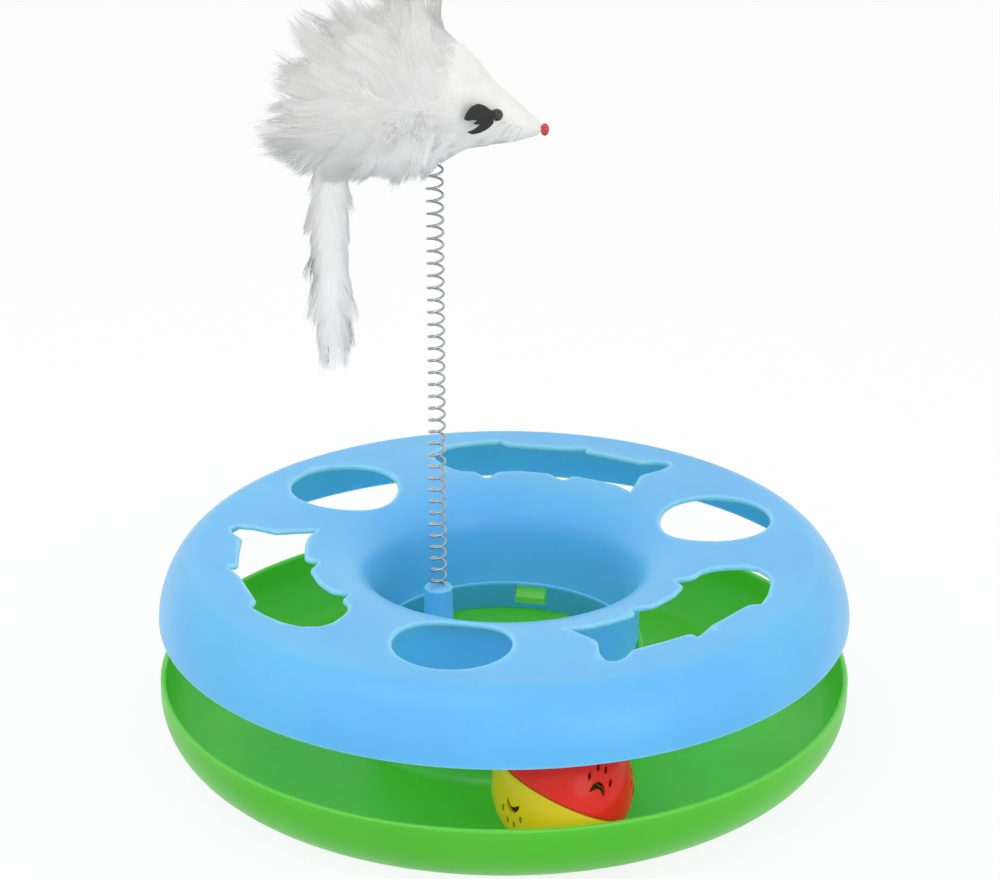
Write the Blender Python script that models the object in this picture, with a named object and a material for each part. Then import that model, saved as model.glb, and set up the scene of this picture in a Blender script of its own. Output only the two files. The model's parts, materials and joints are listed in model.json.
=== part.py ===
"""Cat ball track toy: a round track with a rolling bell ball and a fluffy mouse on a spring.

Metres, +Z up. The origin is the middle of the underside; the mouse's nose points along +X.
"""

import math

import bmesh
import bpy
from mathutils import Matrix, Vector

# Shared clearances
GAP = 0.0003
OVERCUT = 0.004

# Tray: a moulded dish with a raised hub in its middle
TRAY_RADIUS = 0.1250
TRAY_RIM_Z = 0.0252
TRAY_CORNER = 0.0200
TRAY_WALL = 0.0020
HUB_FLOOR_Z = 0.0240
COLLAR_TOP_Z = 0.0338
HUB_FOOT_RADIUS = 0.0060
TRAY_STEPS = 48

# Cover: a tunnel with a broad flat crown over the track, and a throat in its middle
COVER_INSET = 0.0005
COVER_RADIUS = TRAY_RADIUS - COVER_INSET
COVER_WALL = 0.0019
COVER_LIP_Z = 0.0470
COVER_WIDEST_Z = 0.0485
BROW_WIDTH = 0.0140
BROW_CURVE = 1.7
RIDGE_RADIUS = COVER_RADIUS - BROW_WIDTH
RIDGE_Z = 0.0712
THROAT_Z = 0.0372
THROAT_CURVE = 5.0
TUBE_BORE = 0.0465
TUBE_WALL = 0.0018
LEDGE_Z = 0.0352
LEDGE_STEP = 0.0006
COVER_STEPS = 60

# Cutouts in the cover: three round ones and three fish, in turn
CUTOUT_COUNT = 3
ROUND_AZIMUTH = 257.6
ROUND_RADIUS = 0.0210
ROUND_INSET = 0.0290
ROUND_STEPS = 28
FISH_AZIMUTH = 318.5
# The fish's outline, as degrees along the ring from its middle and metres inwards from the ridge
FISH_OUTLINE = (
    (-32.2, 0.0412), (-25.3, 0.0395), (-18.0, 0.0396), (-10.2, 0.0395), (-9.2, 0.0436),
    (-6.8, 0.0435), (-2.3, 0.0399), (6.5, 0.0395), (13.0, 0.0403), (16.2, 0.0446),
    (18.2, 0.0445), (20.5, 0.0395), (24.5, 0.0382), (27.2, 0.0349), (28.9, 0.0300),
    (29.8, 0.0240), (29.2, 0.0185), (26.0, 0.0133), (22.0, 0.0110), (17.0, 0.0095),
    (12.0, 0.0086), (10.5, 0.0121), (3.4, 0.0133), (-2.0, 0.0133), (-6.0, 0.0112),
    (-8.4, 0.0103), (-8.0, 0.0139), (-14.0, 0.0146), (-22.0, 0.0147), (-24.6, 0.0107),
    (-27.2, 0.0089), (-29.2, 0.0109), (-29.2, 0.0175), (-27.4, 0.0265), (-29.2, 0.0325),
)

# Snap hooks on the hub's collar and their windows in the cover's tube
HOOK_COUNT = 3
HOOK_AZIMUTH = 77.4
HOOK_WIDTH = 0.0112
HOOK_REACH = 0.0030
HOOK_UNDER_Z = 0.0274
HOOK_TOP_Z = 0.0330
HOOK_NOSE_SHARE = 0.45
WINDOW_MARGIN = 0.0006

# Spring post on a plate across one side of the tube's foot
POST_X = -0.0238
POST_RADIUS = 0.0051
POST_TOP_Z = 0.0550
PLATE_EDGE_X = -0.0190
PLATE_RECESS = 0.0003
PLATE_THICKNESS = 0.0020

# Spring
WIRE_RADIUS = 0.00045
SPRING_RADIUS = 0.0028
SPRING_HEIGHT = 0.1610
SPRING_TURNS = 36
POINTS_PER_TURN = 8
SEAT_RADIUS = 0.0042
SEAT_HEIGHT = 0.0060
# Heights above its foot about which it leans fore and aft, and sideways
SWAY_FORE_HEIGHT = 0.0350
SWAY_SIDE_HEIGHT = 0.0950

# Mouse: sizes along its own length, from the spring's axis towards the nose
BODY_REAR = 0.0450
BODY_FRONT = 0.0110
BODY_HEIGHT = 0.0490
BODY_WIDTH = 0.0430
BODY_SAG = 0.0090
BELLY_DEPTH = 0.0021
HEAD_LENGTH = 0.0246
HEAD_HEIGHT = 0.0325
HEAD_WIDTH = 0.0305
HEAD_DROP = 0.0016
NOSE_DROP = 0.0092
NOSE_RADIUS = 0.0016
EYE_RADIUS = 0.0021
EYE_FROM_NOSE = 0.0146
EYE_LIFT = 0.0010
EAR_LENGTH = 0.0115
EAR_HEIGHT = 0.0100
EAR_THICKNESS = 0.0010
EAR_FROM_NOSE = 0.0165
EAR_SPREAD = 31.0
TAIL_LENGTH = 0.0690
TAIL_RADIUS = 0.0048
TAIL_ROOT_RADIUS = 0.0034
TAIL_FROM_REAR = 0.0088
RING_POINTS = 18

# Ball and the bell loose inside it
BALL_RADIUS = 0.0239
BALL_WALL = 0.0013
TRACK_CLEARANCE = 0.0016
BALL_TRACK_RADIUS = TRAY_RADIUS - TRAY_WALL - TRACK_CLEARANCE - BALL_RADIUS
BALL_AZIMUTH = -78.5
BALL_POLE = (0.430, 0.172, 0.886)
BALL_STEPS = 24
BALL_BANDS = 6
PAW_COUNT = 6
PAW_FROM_POLE = 66.0
PAW_TURN_RED = -11.3
PAW_TURN_YELLOW = -3.0
# One vent is a paw print: a bowed pad and four long toes, in metres down from the pole and across
PAW_PAD = (
    (0.0022, -0.0027), (-0.0006, -0.0022), (-0.0018, 0.0), (-0.0006, 0.0022),
    (0.0022, 0.0027), (0.0009, 0.0010), (0.0001, 0.0), (0.0009, -0.0010),
)
PAW_TOES = ((-0.0027, 0.0041), (-0.0064, 0.0015), (-0.0064, -0.0015), (-0.0027, -0.0041))
TOE_LENGTH = 0.0029
TOE_WIDTH = 0.0012
BELL_GAP = 0.0009
BELL_RADIUS = 0.0065
BELL_WALL = 0.0006
BELL_SLOT = 0.0012
PELLET_RADIUS = 0.0018

# Heights and radii that follow
TUBE_OUTER = TUBE_BORE + TUBE_WALL
COLLAR_BORE = TUBE_OUTER + GAP
COLLAR_OUTER = COLLAR_BORE + TRAY_WALL
TUBE_FOOT_Z = HUB_FLOOR_Z + GAP
SPRING_FOOT_Z = POST_TOP_Z + GAP
SPRING_HEAD_Z = SPRING_FOOT_Z + SPRING_HEIGHT
SEAT_Z = SPRING_HEAD_Z + GAP
BALL_CENTRE_Z = TRAY_WALL + GAP + BALL_RADIUS

MATERIALS = {
    "green_plastic": ((0.14, 0.55, 0.07, 1.0), 0.0, 0.35),
    "blue_plastic": ((0.16, 0.52, 0.85, 1.0), 0.0, 0.30),
    "spring_steel": ((0.62, 0.62, 0.60, 1.0), 1.0, 0.28),
    "seat_plastic": ((0.80, 0.80, 0.78, 1.0), 0.0, 0.50),
    "white_fur": ((0.85, 0.85, 0.83, 1.0), 0.0, 0.95),
    "black_felt": ((0.015, 0.015, 0.015, 1.0), 0.0, 0.70),
    "black_bead": ((0.008, 0.008, 0.008, 1.0), 0.0, 0.12),
    "red_bead": ((0.70, 0.03, 0.04, 1.0), 0.0, 0.30),
    "red_plastic": ((0.72, 0.05, 0.03, 1.0), 0.0, 0.25),
    "yellow_plastic": ((0.75, 0.62, 0.03, 1.0), 0.0, 0.25),
    "bell_brass": ((0.75, 0.60, 0.30, 1.0), 1.0, 0.30),
}


def clear_scene():
    for item in list(bpy.data.objects):
        bpy.data.objects.remove(item, do_unlink=True)


def material(name):
    found = bpy.data.materials.get(name)
    if found:
        return found
    colour, metallic, roughness = MATERIALS[name]
    made = bpy.data.materials.new(name)
    made.use_nodes = True
    shader = made.node_tree.nodes["Principled BSDF"]
    shader.inputs["Base Color"].default_value = colour
    shader.inputs["Metallic"].default_value = metallic
    shader.inputs["Roughness"].default_value = roughness
    made.diffuse_color = colour
    return made


def add_object(name, bm, material_name=None, smooth_angle=30.0):
    """Turn a bmesh into an object with its faces pointing out."""
    bmesh.ops.recalc_face_normals(bm, faces=bm.faces[:])
    mesh = bpy.data.meshes.new(name)
    bm.to_mesh(mesh)
    bm.free()
    mesh.shade_smooth()
    mesh.set_sharp_from_angle(angle=math.radians(smooth_angle))
    made = bpy.data.objects.new(name, mesh)
    bpy.context.scene.collection.objects.link(made)
    if material_name:
        mesh.materials.append(material(material_name))
    return made


def cut(target, cutter):
    """Take the cutter's shape away from the target."""
    cutter.hide_render = True
    cutter.display_type = "WIRE"
    modifier = target.modifiers.new("cut_" + cutter.name, "BOOLEAN")
    modifier.operation = "DIFFERENCE"
    modifier.solver = "EXACT"
    modifier.object = cutter


def turned(points, steps):
    """Turn a closed outline of (radius, z) points once round the Z axis."""
    bm = bmesh.new()
    ring = [bm.verts.new((radius, 0.0, z)) for radius, z in points]
    edges = [bm.edges.new((a, b)) for a, b in zip(ring, ring[1:])]
    ends_on_axis = points[0][0] == 0.0 and points[-1][0] == 0.0
    if not ends_on_axis:
        edges.append(bm.edges.new((ring[-1], ring[0])))
    bmesh.ops.spin(
        bm,
        geom=ring + edges,
        cent=(0.0, 0.0, 0.0),
        axis=(0.0, 0.0, 1.0),
        angle=math.tau,
        steps=steps,
        use_merge=True,
    )
    bmesh.ops.remove_doubles(bm, verts=bm.verts[:], dist=0.00001)
    return bm


def arc(centre, radius, start, end, steps):
    """Points on an arc in the (radius, z) plane, angles in degrees from outwards."""
    points = []
    for i in range(steps + 1):
        angle = math.radians(start + (end - start) * i / steps)
        points.append((centre[0] + radius * math.cos(angle), centre[1] + radius * math.sin(angle)))
    return points


def prism(outline, low, high):
    """A solid between two heights over a closed outline of (x, y) points."""
    bm = bmesh.new()
    base = [bm.verts.new((x, y, low)) for x, y in outline]
    face = bm.faces.new(base)
    raised = bmesh.ops.extrude_face_region(bm, geom=[face])["geom"]
    tops = [item for item in raised if isinstance(item, bmesh.types.BMVert)]
    bmesh.ops.translate(bm, verts=tops, vec=(0.0, 0.0, high - low))
    return bm


def polar(radius, degrees):
    angle = math.radians(degrees)
    return (radius * math.cos(angle), radius * math.sin(angle))


def box(size, centre, turn):
    """A box whose X axis points outwards at the given azimuth."""
    bm = bmesh.new()
    bmesh.ops.create_cube(bm, size=1.0)
    bmesh.ops.scale(bm, vec=size, verts=bm.verts[:])
    bmesh.ops.translate(bm, vec=centre, verts=bm.verts[:])
    bmesh.ops.rotate(bm, cent=(0, 0, 0), matrix=Matrix.Rotation(math.radians(turn), 3, "Z"), verts=bm.verts[:])
    return bm


# Tray

def tray_outline():
    """Section of the dish, from the hub floor's top round the track to the underside."""
    corner = (TRAY_RADIUS - TRAY_CORNER, TRAY_CORNER)
    foot = (COLLAR_OUTER + HUB_FOOT_RADIUS, TRAY_WALL + HUB_FOOT_RADIUS)
    rim_round = 0.35 * TRAY_WALL
    points = [(0.0, HUB_FLOOR_Z), (COLLAR_BORE, HUB_FLOOR_Z), (COLLAR_BORE, COLLAR_TOP_Z)]
    points += [(COLLAR_OUTER, COLLAR_TOP_Z)]
    points += arc(foot, HUB_FOOT_RADIUS, 180.0, 270.0, 3)
    points += arc(corner, TRAY_CORNER - TRAY_WALL, 270.0, 360.0, 5)
    points += [(TRAY_RADIUS - TRAY_WALL, TRAY_RIM_Z - rim_round)]
    points += [(TRAY_RADIUS - TRAY_WALL + rim_round, TRAY_RIM_Z), (TRAY_RADIUS - rim_round, TRAY_RIM_Z)]
    points += [(TRAY_RADIUS, TRAY_RIM_Z - rim_round)]
    points += arc(corner, TRAY_CORNER, 0.0, -90.0, 6)
    points += arc(foot, HUB_FOOT_RADIUS + TRAY_WALL, 270.0, 180.0, 3)
    points += [(COLLAR_OUTER - TRAY_WALL, HUB_FLOOR_Z - TRAY_WALL), (0.0, HUB_FLOOR_Z - TRAY_WALL)]
    return points


def hook(azimuth):
    """A snap hook on the collar: flat underneath, sloping on top."""
    root = COLLAR_BORE + TRAY_WALL / 2
    tip = COLLAR_BORE - GAP - TUBE_WALL - HOOK_REACH / 2
    tip_z = HOOK_UNDER_Z + (HOOK_TOP_Z - HOOK_UNDER_Z) * HOOK_NOSE_SHARE
    section = ((root, HOOK_UNDER_Z), (tip, HOOK_UNDER_Z), (tip, tip_z), (COLLAR_BORE, HOOK_TOP_Z), (root, HOOK_TOP_Z))
    bm = bmesh.new()
    half = HOOK_WIDTH / 2
    sides = [[bm.verts.new((x, y, z)) for x, z in section] for y in (-half, half)]
    bm.faces.new(sides[0])
    bm.faces.new(reversed(sides[1]))
    for i in range(len(section)):
        j = (i + 1) % len(section)
        bm.faces.new((sides[0][i], sides[0][j], sides[1][j], sides[1][i]))
    bmesh.ops.rotate(bm, cent=(0, 0, 0), matrix=Matrix.Rotation(math.radians(azimuth), 3, "Z"), verts=bm.verts[:])
    return bm


def join_in(target, extra):
    """Fuse a second shape to the target, as moulded in one piece."""
    extra.hide_render = True
    extra.display_type = "WIRE"
    modifier = target.modifiers.new("join_" + extra.name, "BOOLEAN")
    modifier.operation = "UNION"
    modifier.solver = "EXACT"
    modifier.object = extra


def hook_azimuths():
    return [HOOK_AZIMUTH + 360.0 * i / HOOK_COUNT for i in range(HOOK_COUNT)]


def make_tray():
    tray = add_object("base_tray", turned(tray_outline(), TRAY_STEPS), "green_plastic")
    for i, azimuth in enumerate(hook_azimuths()):
        join_in(tray, add_object(f"guide_hook_{i}", hook(azimuth)))
    return tray


# Cover

def throat_point(share):
    """A point on the top surface between the throat (0) and the ridge (1)."""
    reach = RIDGE_RADIUS - TUBE_BORE - LEDGE_STEP
    angle = share * math.pi / 2
    x = math.cos(angle) ** (2 / THROAT_CURVE)
    y = math.sin(angle) ** (2 / THROAT_CURVE)
    return (RIDGE_RADIUS - reach * x, THROAT_Z + (RIDGE_Z - THROAT_Z) * y)


def brow_point(share):
    """A point on the top surface between the ridge (0) and the widest ring (1)."""
    angle = share * math.pi / 2
    x = math.sin(angle) ** (2 / BROW_CURVE)
    y = max(math.cos(angle), 0.0) ** (2 / BROW_CURVE)
    return (RIDGE_RADIUS + BROW_WIDTH * x, COVER_WIDEST_Z + (RIDGE_Z - COVER_WIDEST_Z) * y)


def dome_points(throat_steps, brow_steps):
    """The top surface from the throat over the ridge to the widest ring."""
    points = [throat_point(i / throat_steps) for i in range(throat_steps + 1)]
    return points + [brow_point(i / brow_steps) for i in range(1, brow_steps + 1)]


def moved_inwards(points, distance):
    """Move an open outline sideways into the wall, square to its own direction."""
    moved = []
    for i, (radius, z) in enumerate(points):
        before = points[max(i - 1, 0)]
        after = points[min(i + 1, len(points) - 1)]
        along = Vector((after[0] - before[0], after[1] - before[1])).normalized()
        moved.append((radius + along.y * distance, z - along.x * distance))
    return moved


def cover_outline():
    """Section of the cover, up the side that shows and back along the hidden one."""
    shown = [(TUBE_BORE, TUBE_FOOT_Z), (TUBE_BORE, LEDGE_Z)] + dome_points(8, 6)
    shown.append((COVER_RADIUS, COVER_LIP_Z))
    hidden = moved_inwards(dome_points(6, 5), COVER_WALL)
    hidden[0] = (TUBE_OUTER, LEDGE_Z)
    hidden[-1] = (COVER_RADIUS - COVER_WALL, COVER_WIDEST_Z)
    hidden = [(TUBE_OUTER, TUBE_FOOT_Z)] + hidden + [(COVER_RADIUS - COVER_WALL, COVER_LIP_Z)]
    return shown + hidden[::-1]


def fish_outline(azimuth):
    return [polar(RIDGE_RADIUS - inset, azimuth + degrees) for degrees, inset in FISH_OUTLINE]


def round_outline(azimuth):
    centre = polar(RIDGE_RADIUS - ROUND_INSET, azimuth)
    points = []
    for i in range(ROUND_STEPS):
        x, y = polar(ROUND_RADIUS, 360.0 * i / ROUND_STEPS)
        points.append((centre[0] + x, centre[1] + y))
    return points


def plate_outline():
    """The part of the tube's foot behind a straight edge, overlapping the tube's wall."""
    radius = TUBE_BORE + TUBE_WALL / 2
    half = math.degrees(math.acos(-PLATE_EDGE_X / radius))
    return [polar(radius, 180.0 - half + 2 * half * i / 18) for i in range(19)]


def make_cover():
    cover = add_object("top_cover", turned(cover_outline(), COVER_STEPS), "blue_plastic")
    low = COVER_LIP_Z + OVERCUT
    high = RIDGE_Z + OVERCUT
    for i in range(CUTOUT_COUNT):
        turn = 360.0 * i / CUTOUT_COUNT
        cut(cover, add_object(f"cutter_round_{i}", prism(round_outline(ROUND_AZIMUTH + turn), low, high)))
        cut(cover, add_object(f"cutter_fish_{i}", prism(fish_outline(FISH_AZIMUTH + turn), low, high)))
    window = (HOOK_REACH + 4 * TUBE_WALL, HOOK_WIDTH + 2 * WINDOW_MARGIN, HOOK_TOP_Z - HOOK_UNDER_Z + 2 * WINDOW_MARGIN)
    middle = (TUBE_BORE, 0.0, (HOOK_TOP_Z + HOOK_UNDER_Z) / 2)
    for i, azimuth in enumerate(hook_azimuths()):
        cut(cover, add_object(f"cutter_window_{i}", box(window, middle, azimuth)))
    plate_z = TUBE_FOOT_Z + PLATE_RECESS
    plate = prism(plate_outline(), plate_z, plate_z + PLATE_THICKNESS)
    join_in(cover, add_object("guide_plate", plate))
    post_foot = plate_z + PLATE_THICKNESS / 2
    post = rod(POST_RADIUS, POST_TOP_Z - post_foot, (POST_X, 0.0, (POST_TOP_Z + post_foot) / 2))
    join_in(cover, add_object("guide_post", post))
    return cover


# Spring

def spring_points():
    """One wire from foot to head: it stands straight for a wire's width at each end."""
    lead = 2 * WIRE_RADIUS
    rise = SPRING_HEIGHT - 2 * lead
    points = [Vector((SPRING_RADIUS, 0.0, 0.0))]
    count = SPRING_TURNS * POINTS_PER_TURN
    for i in range(count + 1):
        angle = math.tau * i / POINTS_PER_TURN
        z = lead + rise * i / count
        points.append(Vector((SPRING_RADIUS * math.cos(angle), SPRING_RADIUS * math.sin(angle), z)))
    points.append(points[-1] + Vector((0.0, 0.0, lead)))
    return points


def least_gap(points):
    """Clear space between the wire and its own neighbouring turn."""
    least = None
    for i, point in enumerate(points):
        for j in range(i + POINTS_PER_TURN // 2, min(i + 2 * POINTS_PER_TURN, len(points))):
            distance = (points[j] - point).length - 2 * WIRE_RADIUS
            least = distance if least is None else min(least, distance)
    return least


def make_spring():
    points = spring_points()
    print(f"spring: least gap to itself {least_gap(points) * 1000:.2f} mm")
    curve = bpy.data.curves.new("spring", "CURVE")
    curve.dimensions = "3D"
    curve.bevel_depth = WIRE_RADIUS
    curve.bevel_resolution = 1
    curve.use_fill_caps = True
    spline = curve.splines.new("POLY")
    spline.points.add(len(points) - 1)
    for target, point in zip(spline.points, points):
        target.co = (point.x, point.y, point.z, 1.0)
    curve.materials.append(material("spring_steel"))
    spring = bpy.data.objects.new("spring", curve)
    spring.location = (POST_X, 0.0, SPRING_FOOT_Z)
    bpy.context.scene.collection.objects.link(spring)
    return spring


# Mouse

def smooth_value(table, share):
    """Read a smooth curve through (share, value) pairs."""
    for i in range(len(table) - 1):
        if share <= table[i + 1][0]:
            break
    left, right = table[i], table[i + 1]
    before = table[i - 1] if i > 0 else left
    after = table[i + 2] if i + 2 < len(table) else right
    width = right[0] - left[0]
    t = (share - left[0]) / width
    rise_in = (right[1] - before[1]) / (right[0] - before[0]) * width
    rise_out = (after[1] - left[1]) / (after[0] - left[0]) * width
    a = 2 * t ** 3 - 3 * t ** 2 + 1
    b = t ** 3 - 2 * t ** 2 + t
    c = -2 * t ** 3 + 3 * t ** 2
    d = t ** 3 - t ** 2
    return a * left[1] + b * rise_in + c * right[1] + d * rise_out


ALONG = Vector((1.0, 0.0, 0.0))
ACROSS = Vector((0.0, 1.0, 0.0))
UP = Vector((0.0, 0.0, 1.0))
SIDES = ((-1.0, "left"), (1.0, "right"))


def lofted(sections, wide, high):
    """A closed solid through oval rings given as (centre, half width, half height)."""
    bm = bmesh.new()
    rings = []
    for centre, half_width, half_height in sections:
        ring = []
        for i in range(RING_POINTS):
            angle = math.tau * i / RING_POINTS
            offset = wide * half_width * math.cos(angle) + high * half_height * math.sin(angle)
            ring.append(bm.verts.new(centre + offset))
        rings.append(ring)
    for first, second in zip(rings, rings[1:]):
        for i in range(RING_POINTS):
            j = (i + 1) % RING_POINTS
            bm.faces.new((first[i], first[j], second[j], second[i]))
    bm.faces.new(rings[0][::-1])
    bm.faces.new(rings[-1])
    return bm


def ball_solid(centre, radius, segments=12, rings=8):
    bm = bmesh.new()
    bmesh.ops.create_uvsphere(bm, u_segments=segments, v_segments=rings, radius=radius)
    bmesh.ops.translate(bm, verts=bm.verts[:], vec=centre)
    return bm


def rod(radius, height, centre, sides=20):
    """An upright cylinder about its own middle."""
    bm = bmesh.new()
    bmesh.ops.create_cone(bm, cap_ends=True, segments=sides, radius1=radius, radius2=radius, depth=height)
    bmesh.ops.translate(bm, verts=bm.verts[:], vec=centre)
    return bm


# Shares of the half height along the body, rear to front
BODY_SWELL = (
    (0.0, 0.18), (0.04, 0.38), (0.125, 0.62), (0.3, 0.87), (0.52, 1.0), (0.73, 0.98), (0.91, 0.82), (1.0, 0.70),
)
# The head narrows from the body to the nose
HEAD_TAPER = ((0.0, 1.0), (0.07, 0.95), (0.39, 0.68), (0.59, 0.53), (0.83, 0.32), (0.96, 0.18), (1.0, 0.12))
# The tail's strip of fur swells below its root and thins to its tip
TAIL_SWELL = ((0.0, 0.72), (0.08, 1.0), (0.25, 0.92), (0.6, 1.05), (0.85, 0.8), (0.96, 0.45), (1.0, 0.22))


def body_half(share):
    return BODY_HEIGHT / 2 * smooth_value(BODY_SWELL, share)


def body_sag(share):
    """The back half of the body droops towards its rear."""
    return BODY_SAG * (1 - share) ** 2


# The belly over the post hangs BELLY_DEPTH below the spring's seat
SHARE_AT_POST = BODY_REAR / (BODY_REAR + BODY_FRONT)
BODY_MIDDLE_Z = SEAT_Z - BELLY_DEPTH + body_half(SHARE_AT_POST) + body_sag(SHARE_AT_POST)
HEAD_START = Vector((POST_X + BODY_FRONT + GAP, 0.0, BODY_MIDDLE_Z - HEAD_DROP))
HEAD_END = HEAD_START + Vector((HEAD_LENGTH, 0.0, -NOSE_DROP))


def body_place(share):
    """Centre and half height of the body's section, from its rear (0) to its front (1)."""
    x = POST_X - BODY_REAR + (BODY_REAR + BODY_FRONT) * share
    return Vector((x, 0.0, BODY_MIDDLE_Z - body_sag(share))), body_half(share)


def head_place(share):
    """Centre, half width and half height of the head's section, from the neck to the nose."""
    taper = smooth_value(HEAD_TAPER, share)
    return HEAD_START.lerp(HEAD_END, share), HEAD_WIDTH / 2 * taper, HEAD_HEIGHT / 2 * taper


def make_mouse_body():
    sections = []
    for i in range(12):
        centre, half = body_place(i / 11)
        sections.append((centre, half * BODY_WIDTH / BODY_HEIGHT, half))
    body = add_object("mouse_body", lofted(sections, ACROSS, UP), "white_fur", 60.0)
    height = SEAT_HEIGHT + GAP + OVERCUT
    recess = rod(SEAT_RADIUS + GAP, height, (POST_X, 0.0, SEAT_Z + SEAT_HEIGHT + GAP - height / 2))
    cut(body, add_object("cutter_seat", recess))
    return body


def make_mouse_head():
    sections = [head_place(i / 9) for i in range(10)]
    head = add_object("mouse_head", lofted(sections, ACROSS, UP), "white_fur", 60.0)
    for side, label in SIDES:
        socket = ball_solid(eye_centre(side), EYE_RADIUS + GAP)
        cut(head, add_object(f"cutter_eye_{label}", socket))
    return head


def eye_centre(side):
    centre, half_width, _ = head_place(1.0 - EYE_FROM_NOSE / HEAD_LENGTH)
    return centre + Vector((0.0, side * half_width, EYE_LIFT))


def make_eye(side, label):
    return add_object(f"eye_{label}", ball_solid(eye_centre(side), EYE_RADIUS), "black_bead")


def make_nose():
    centre = HEAD_END + Vector((NOSE_RADIUS + GAP, 0.0, 0.0))
    return add_object("mouse_nose", ball_solid(centre, NOSE_RADIUS), "red_bead")


# A leaf with a split in its rear edge, as shares of the ear's length and height
EAR_LEAF = (
    (0.0, 0.05), (0.2, 0.26), (0.45, 0.5), (0.72, 0.44), (1.0, 0.12), (0.62, -0.08),
    (0.95, -0.32), (0.72, -0.5), (0.4, -0.34), (0.12, -0.16),
)


def make_ear(side, label):
    """A flat felt leaf lying along the side of the head, its stem towards the eye."""
    share = 1.0 - EAR_FROM_NOSE / HEAD_LENGTH
    centre, half_width, _ = head_place(share)
    spread = math.radians(EAR_SPREAD)
    back = Vector((-math.cos(spread), side * math.sin(spread), 0.0))
    outwards = Vector((math.sin(spread), side * math.cos(spread), 0.0))
    stem = centre + Vector((0.0, side * half_width, EYE_LIFT)) + outwards * 2 * GAP
    bm = bmesh.new()
    layers = []
    for depth in (0.0, EAR_THICKNESS):
        layer = []
        for along, up in EAR_LEAF:
            place = stem + back * along * EAR_LENGTH + UP * up * EAR_HEIGHT + outwards * depth
            layer.append(bm.verts.new(place))
        layers.append(layer)
    bm.faces.new(layers[0])
    bm.faces.new(layers[1][::-1])
    for i in range(len(EAR_LEAF)):
        j = (i + 1) % len(EAR_LEAF)
        bm.faces.new((layers[0][i], layers[0][j], layers[1][j], layers[1][i]))
    return add_object(f"ear_{label}", bm, "black_felt")


def tail_pivot():
    """Middle of the tail's round root, clear of the body's sloping underside."""
    length = BODY_REAR + BODY_FRONT
    step = 0.02
    share = TAIL_FROM_REAR / length
    here, half = body_place(share)
    ahead, half_ahead = body_place(share + step)
    slope = ((here.z - half) - (ahead.z - half_ahead)) / (step * length)
    drop = (TAIL_ROOT_RADIUS + GAP) * math.sqrt(1 + slope ** 2)
    return Vector((here.x, 0.0, here.z - half - drop))


def make_tail():
    pivot = tail_pivot()
    sections = []
    for i in range(3):
        angle = math.radians(80.0 - 26.0 * i)
        radius = TAIL_ROOT_RADIUS * math.cos(angle)
        sections.append((pivot + UP * TAIL_ROOT_RADIUS * math.sin(angle), radius, radius))
    for i in range(10):
        share = i / 9
        radius = TAIL_RADIUS * smooth_value(TAIL_SWELL, share)
        sections.append((pivot - UP * TAIL_LENGTH * share, radius, radius))
    return add_object("mouse_tail", lofted(sections, ACROSS, ALONG), "white_fur", 60.0)


def make_seat():
    """The plug in the belly that holds the spring's upper end."""
    seat = rod(SEAT_RADIUS, SEAT_HEIGHT, (POST_X, 0.0, SEAT_Z + SEAT_HEIGHT / 2))
    return add_object("spring_seat", seat, "seat_plastic")


# Ball and bell

def half_shell(radius, wall, steps, bands):
    """A hollow half ball over the Z axis, standing half a gap above its seam."""
    floor_angle = math.degrees(math.asin(GAP / 2 / radius))
    inner_angle = math.degrees(math.asin(GAP / 2 / (radius - wall)))
    outer = arc((0.0, 0.0), radius, floor_angle, 90.0, bands)
    inner = arc((0.0, 0.0), radius - wall, 90.0, inner_angle, bands)
    outer[-1] = (0.0, radius)
    inner[0] = (0.0, radius - wall)
    return turned(inner + outer, steps)


def toe_outline(x, y):
    """A long hexagon about one toe's middle."""
    half, side, shoulder = TOE_LENGTH / 2, TOE_WIDTH / 2, TOE_LENGTH / 4
    corners = ((-half, 0.0), (-shoulder, -side), (shoulder, -side), (half, 0.0), (shoulder, side), (-shoulder, side))
    return [(x + across, y + along) for across, along in corners]


def paw_vents(first_turn):
    """Cutters for the paw prints, repeated round the shell below its pole."""
    bm = bmesh.new()
    reach = 2 * BALL_WALL
    for i in range(PAW_COUNT):
        turn = Matrix.Rotation(math.radians(first_turn) + math.tau * i / PAW_COUNT, 4, "Z")
        tilt = Matrix.Rotation(math.radians(PAW_FROM_POLE), 4, "Y")
        place = turn @ tilt @ Matrix.Translation((0.0, 0.0, BALL_RADIUS - BALL_WALL / 2))
        for outline in [PAW_PAD] + [toe_outline(x, y) for x, y in PAW_TOES]:
            low = [bm.verts.new(place @ Vector((x, y, -reach))) for x, y in outline]
            high = [bm.verts.new(place @ Vector((x, y, reach))) for x, y in outline]
            bm.faces.new(low)
            bm.faces.new(high[::-1])
            for j in range(len(outline)):
                k = (j + 1) % len(outline)
                bm.faces.new((low[j], high[j], high[k], low[k]))
    return bm


def ball_centre():
    x, y = polar(BALL_TRACK_RADIUS, BALL_AZIMUTH)
    return Vector((x, y, BALL_CENTRE_Z))


def make_ball():
    """Two half shells on one seam, tilted as the ball has come to rest."""
    pole = Vector(BALL_POLE).normalized()
    halves = []
    for name, colour, direction, first_turn in (
        ("ball_shell_red", "red_plastic", pole, PAW_TURN_RED),
        ("ball_shell_yellow", "yellow_plastic", -pole, PAW_TURN_YELLOW),
    ):
        turn = Vector((0.0, 0.0, 1.0)).rotation_difference(direction)
        shell = add_object(name, half_shell(BALL_RADIUS, BALL_WALL, BALL_STEPS, BALL_BANDS), colour)
        vents = add_object("cutter_vents_" + name, paw_vents(first_turn))
        for item in (shell, vents):
            item.rotation_mode = "QUATERNION"
            item.rotation_quaternion = turn
            item.location = ball_centre()
        cut(shell, vents)
        halves.append(shell)
    return halves


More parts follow.
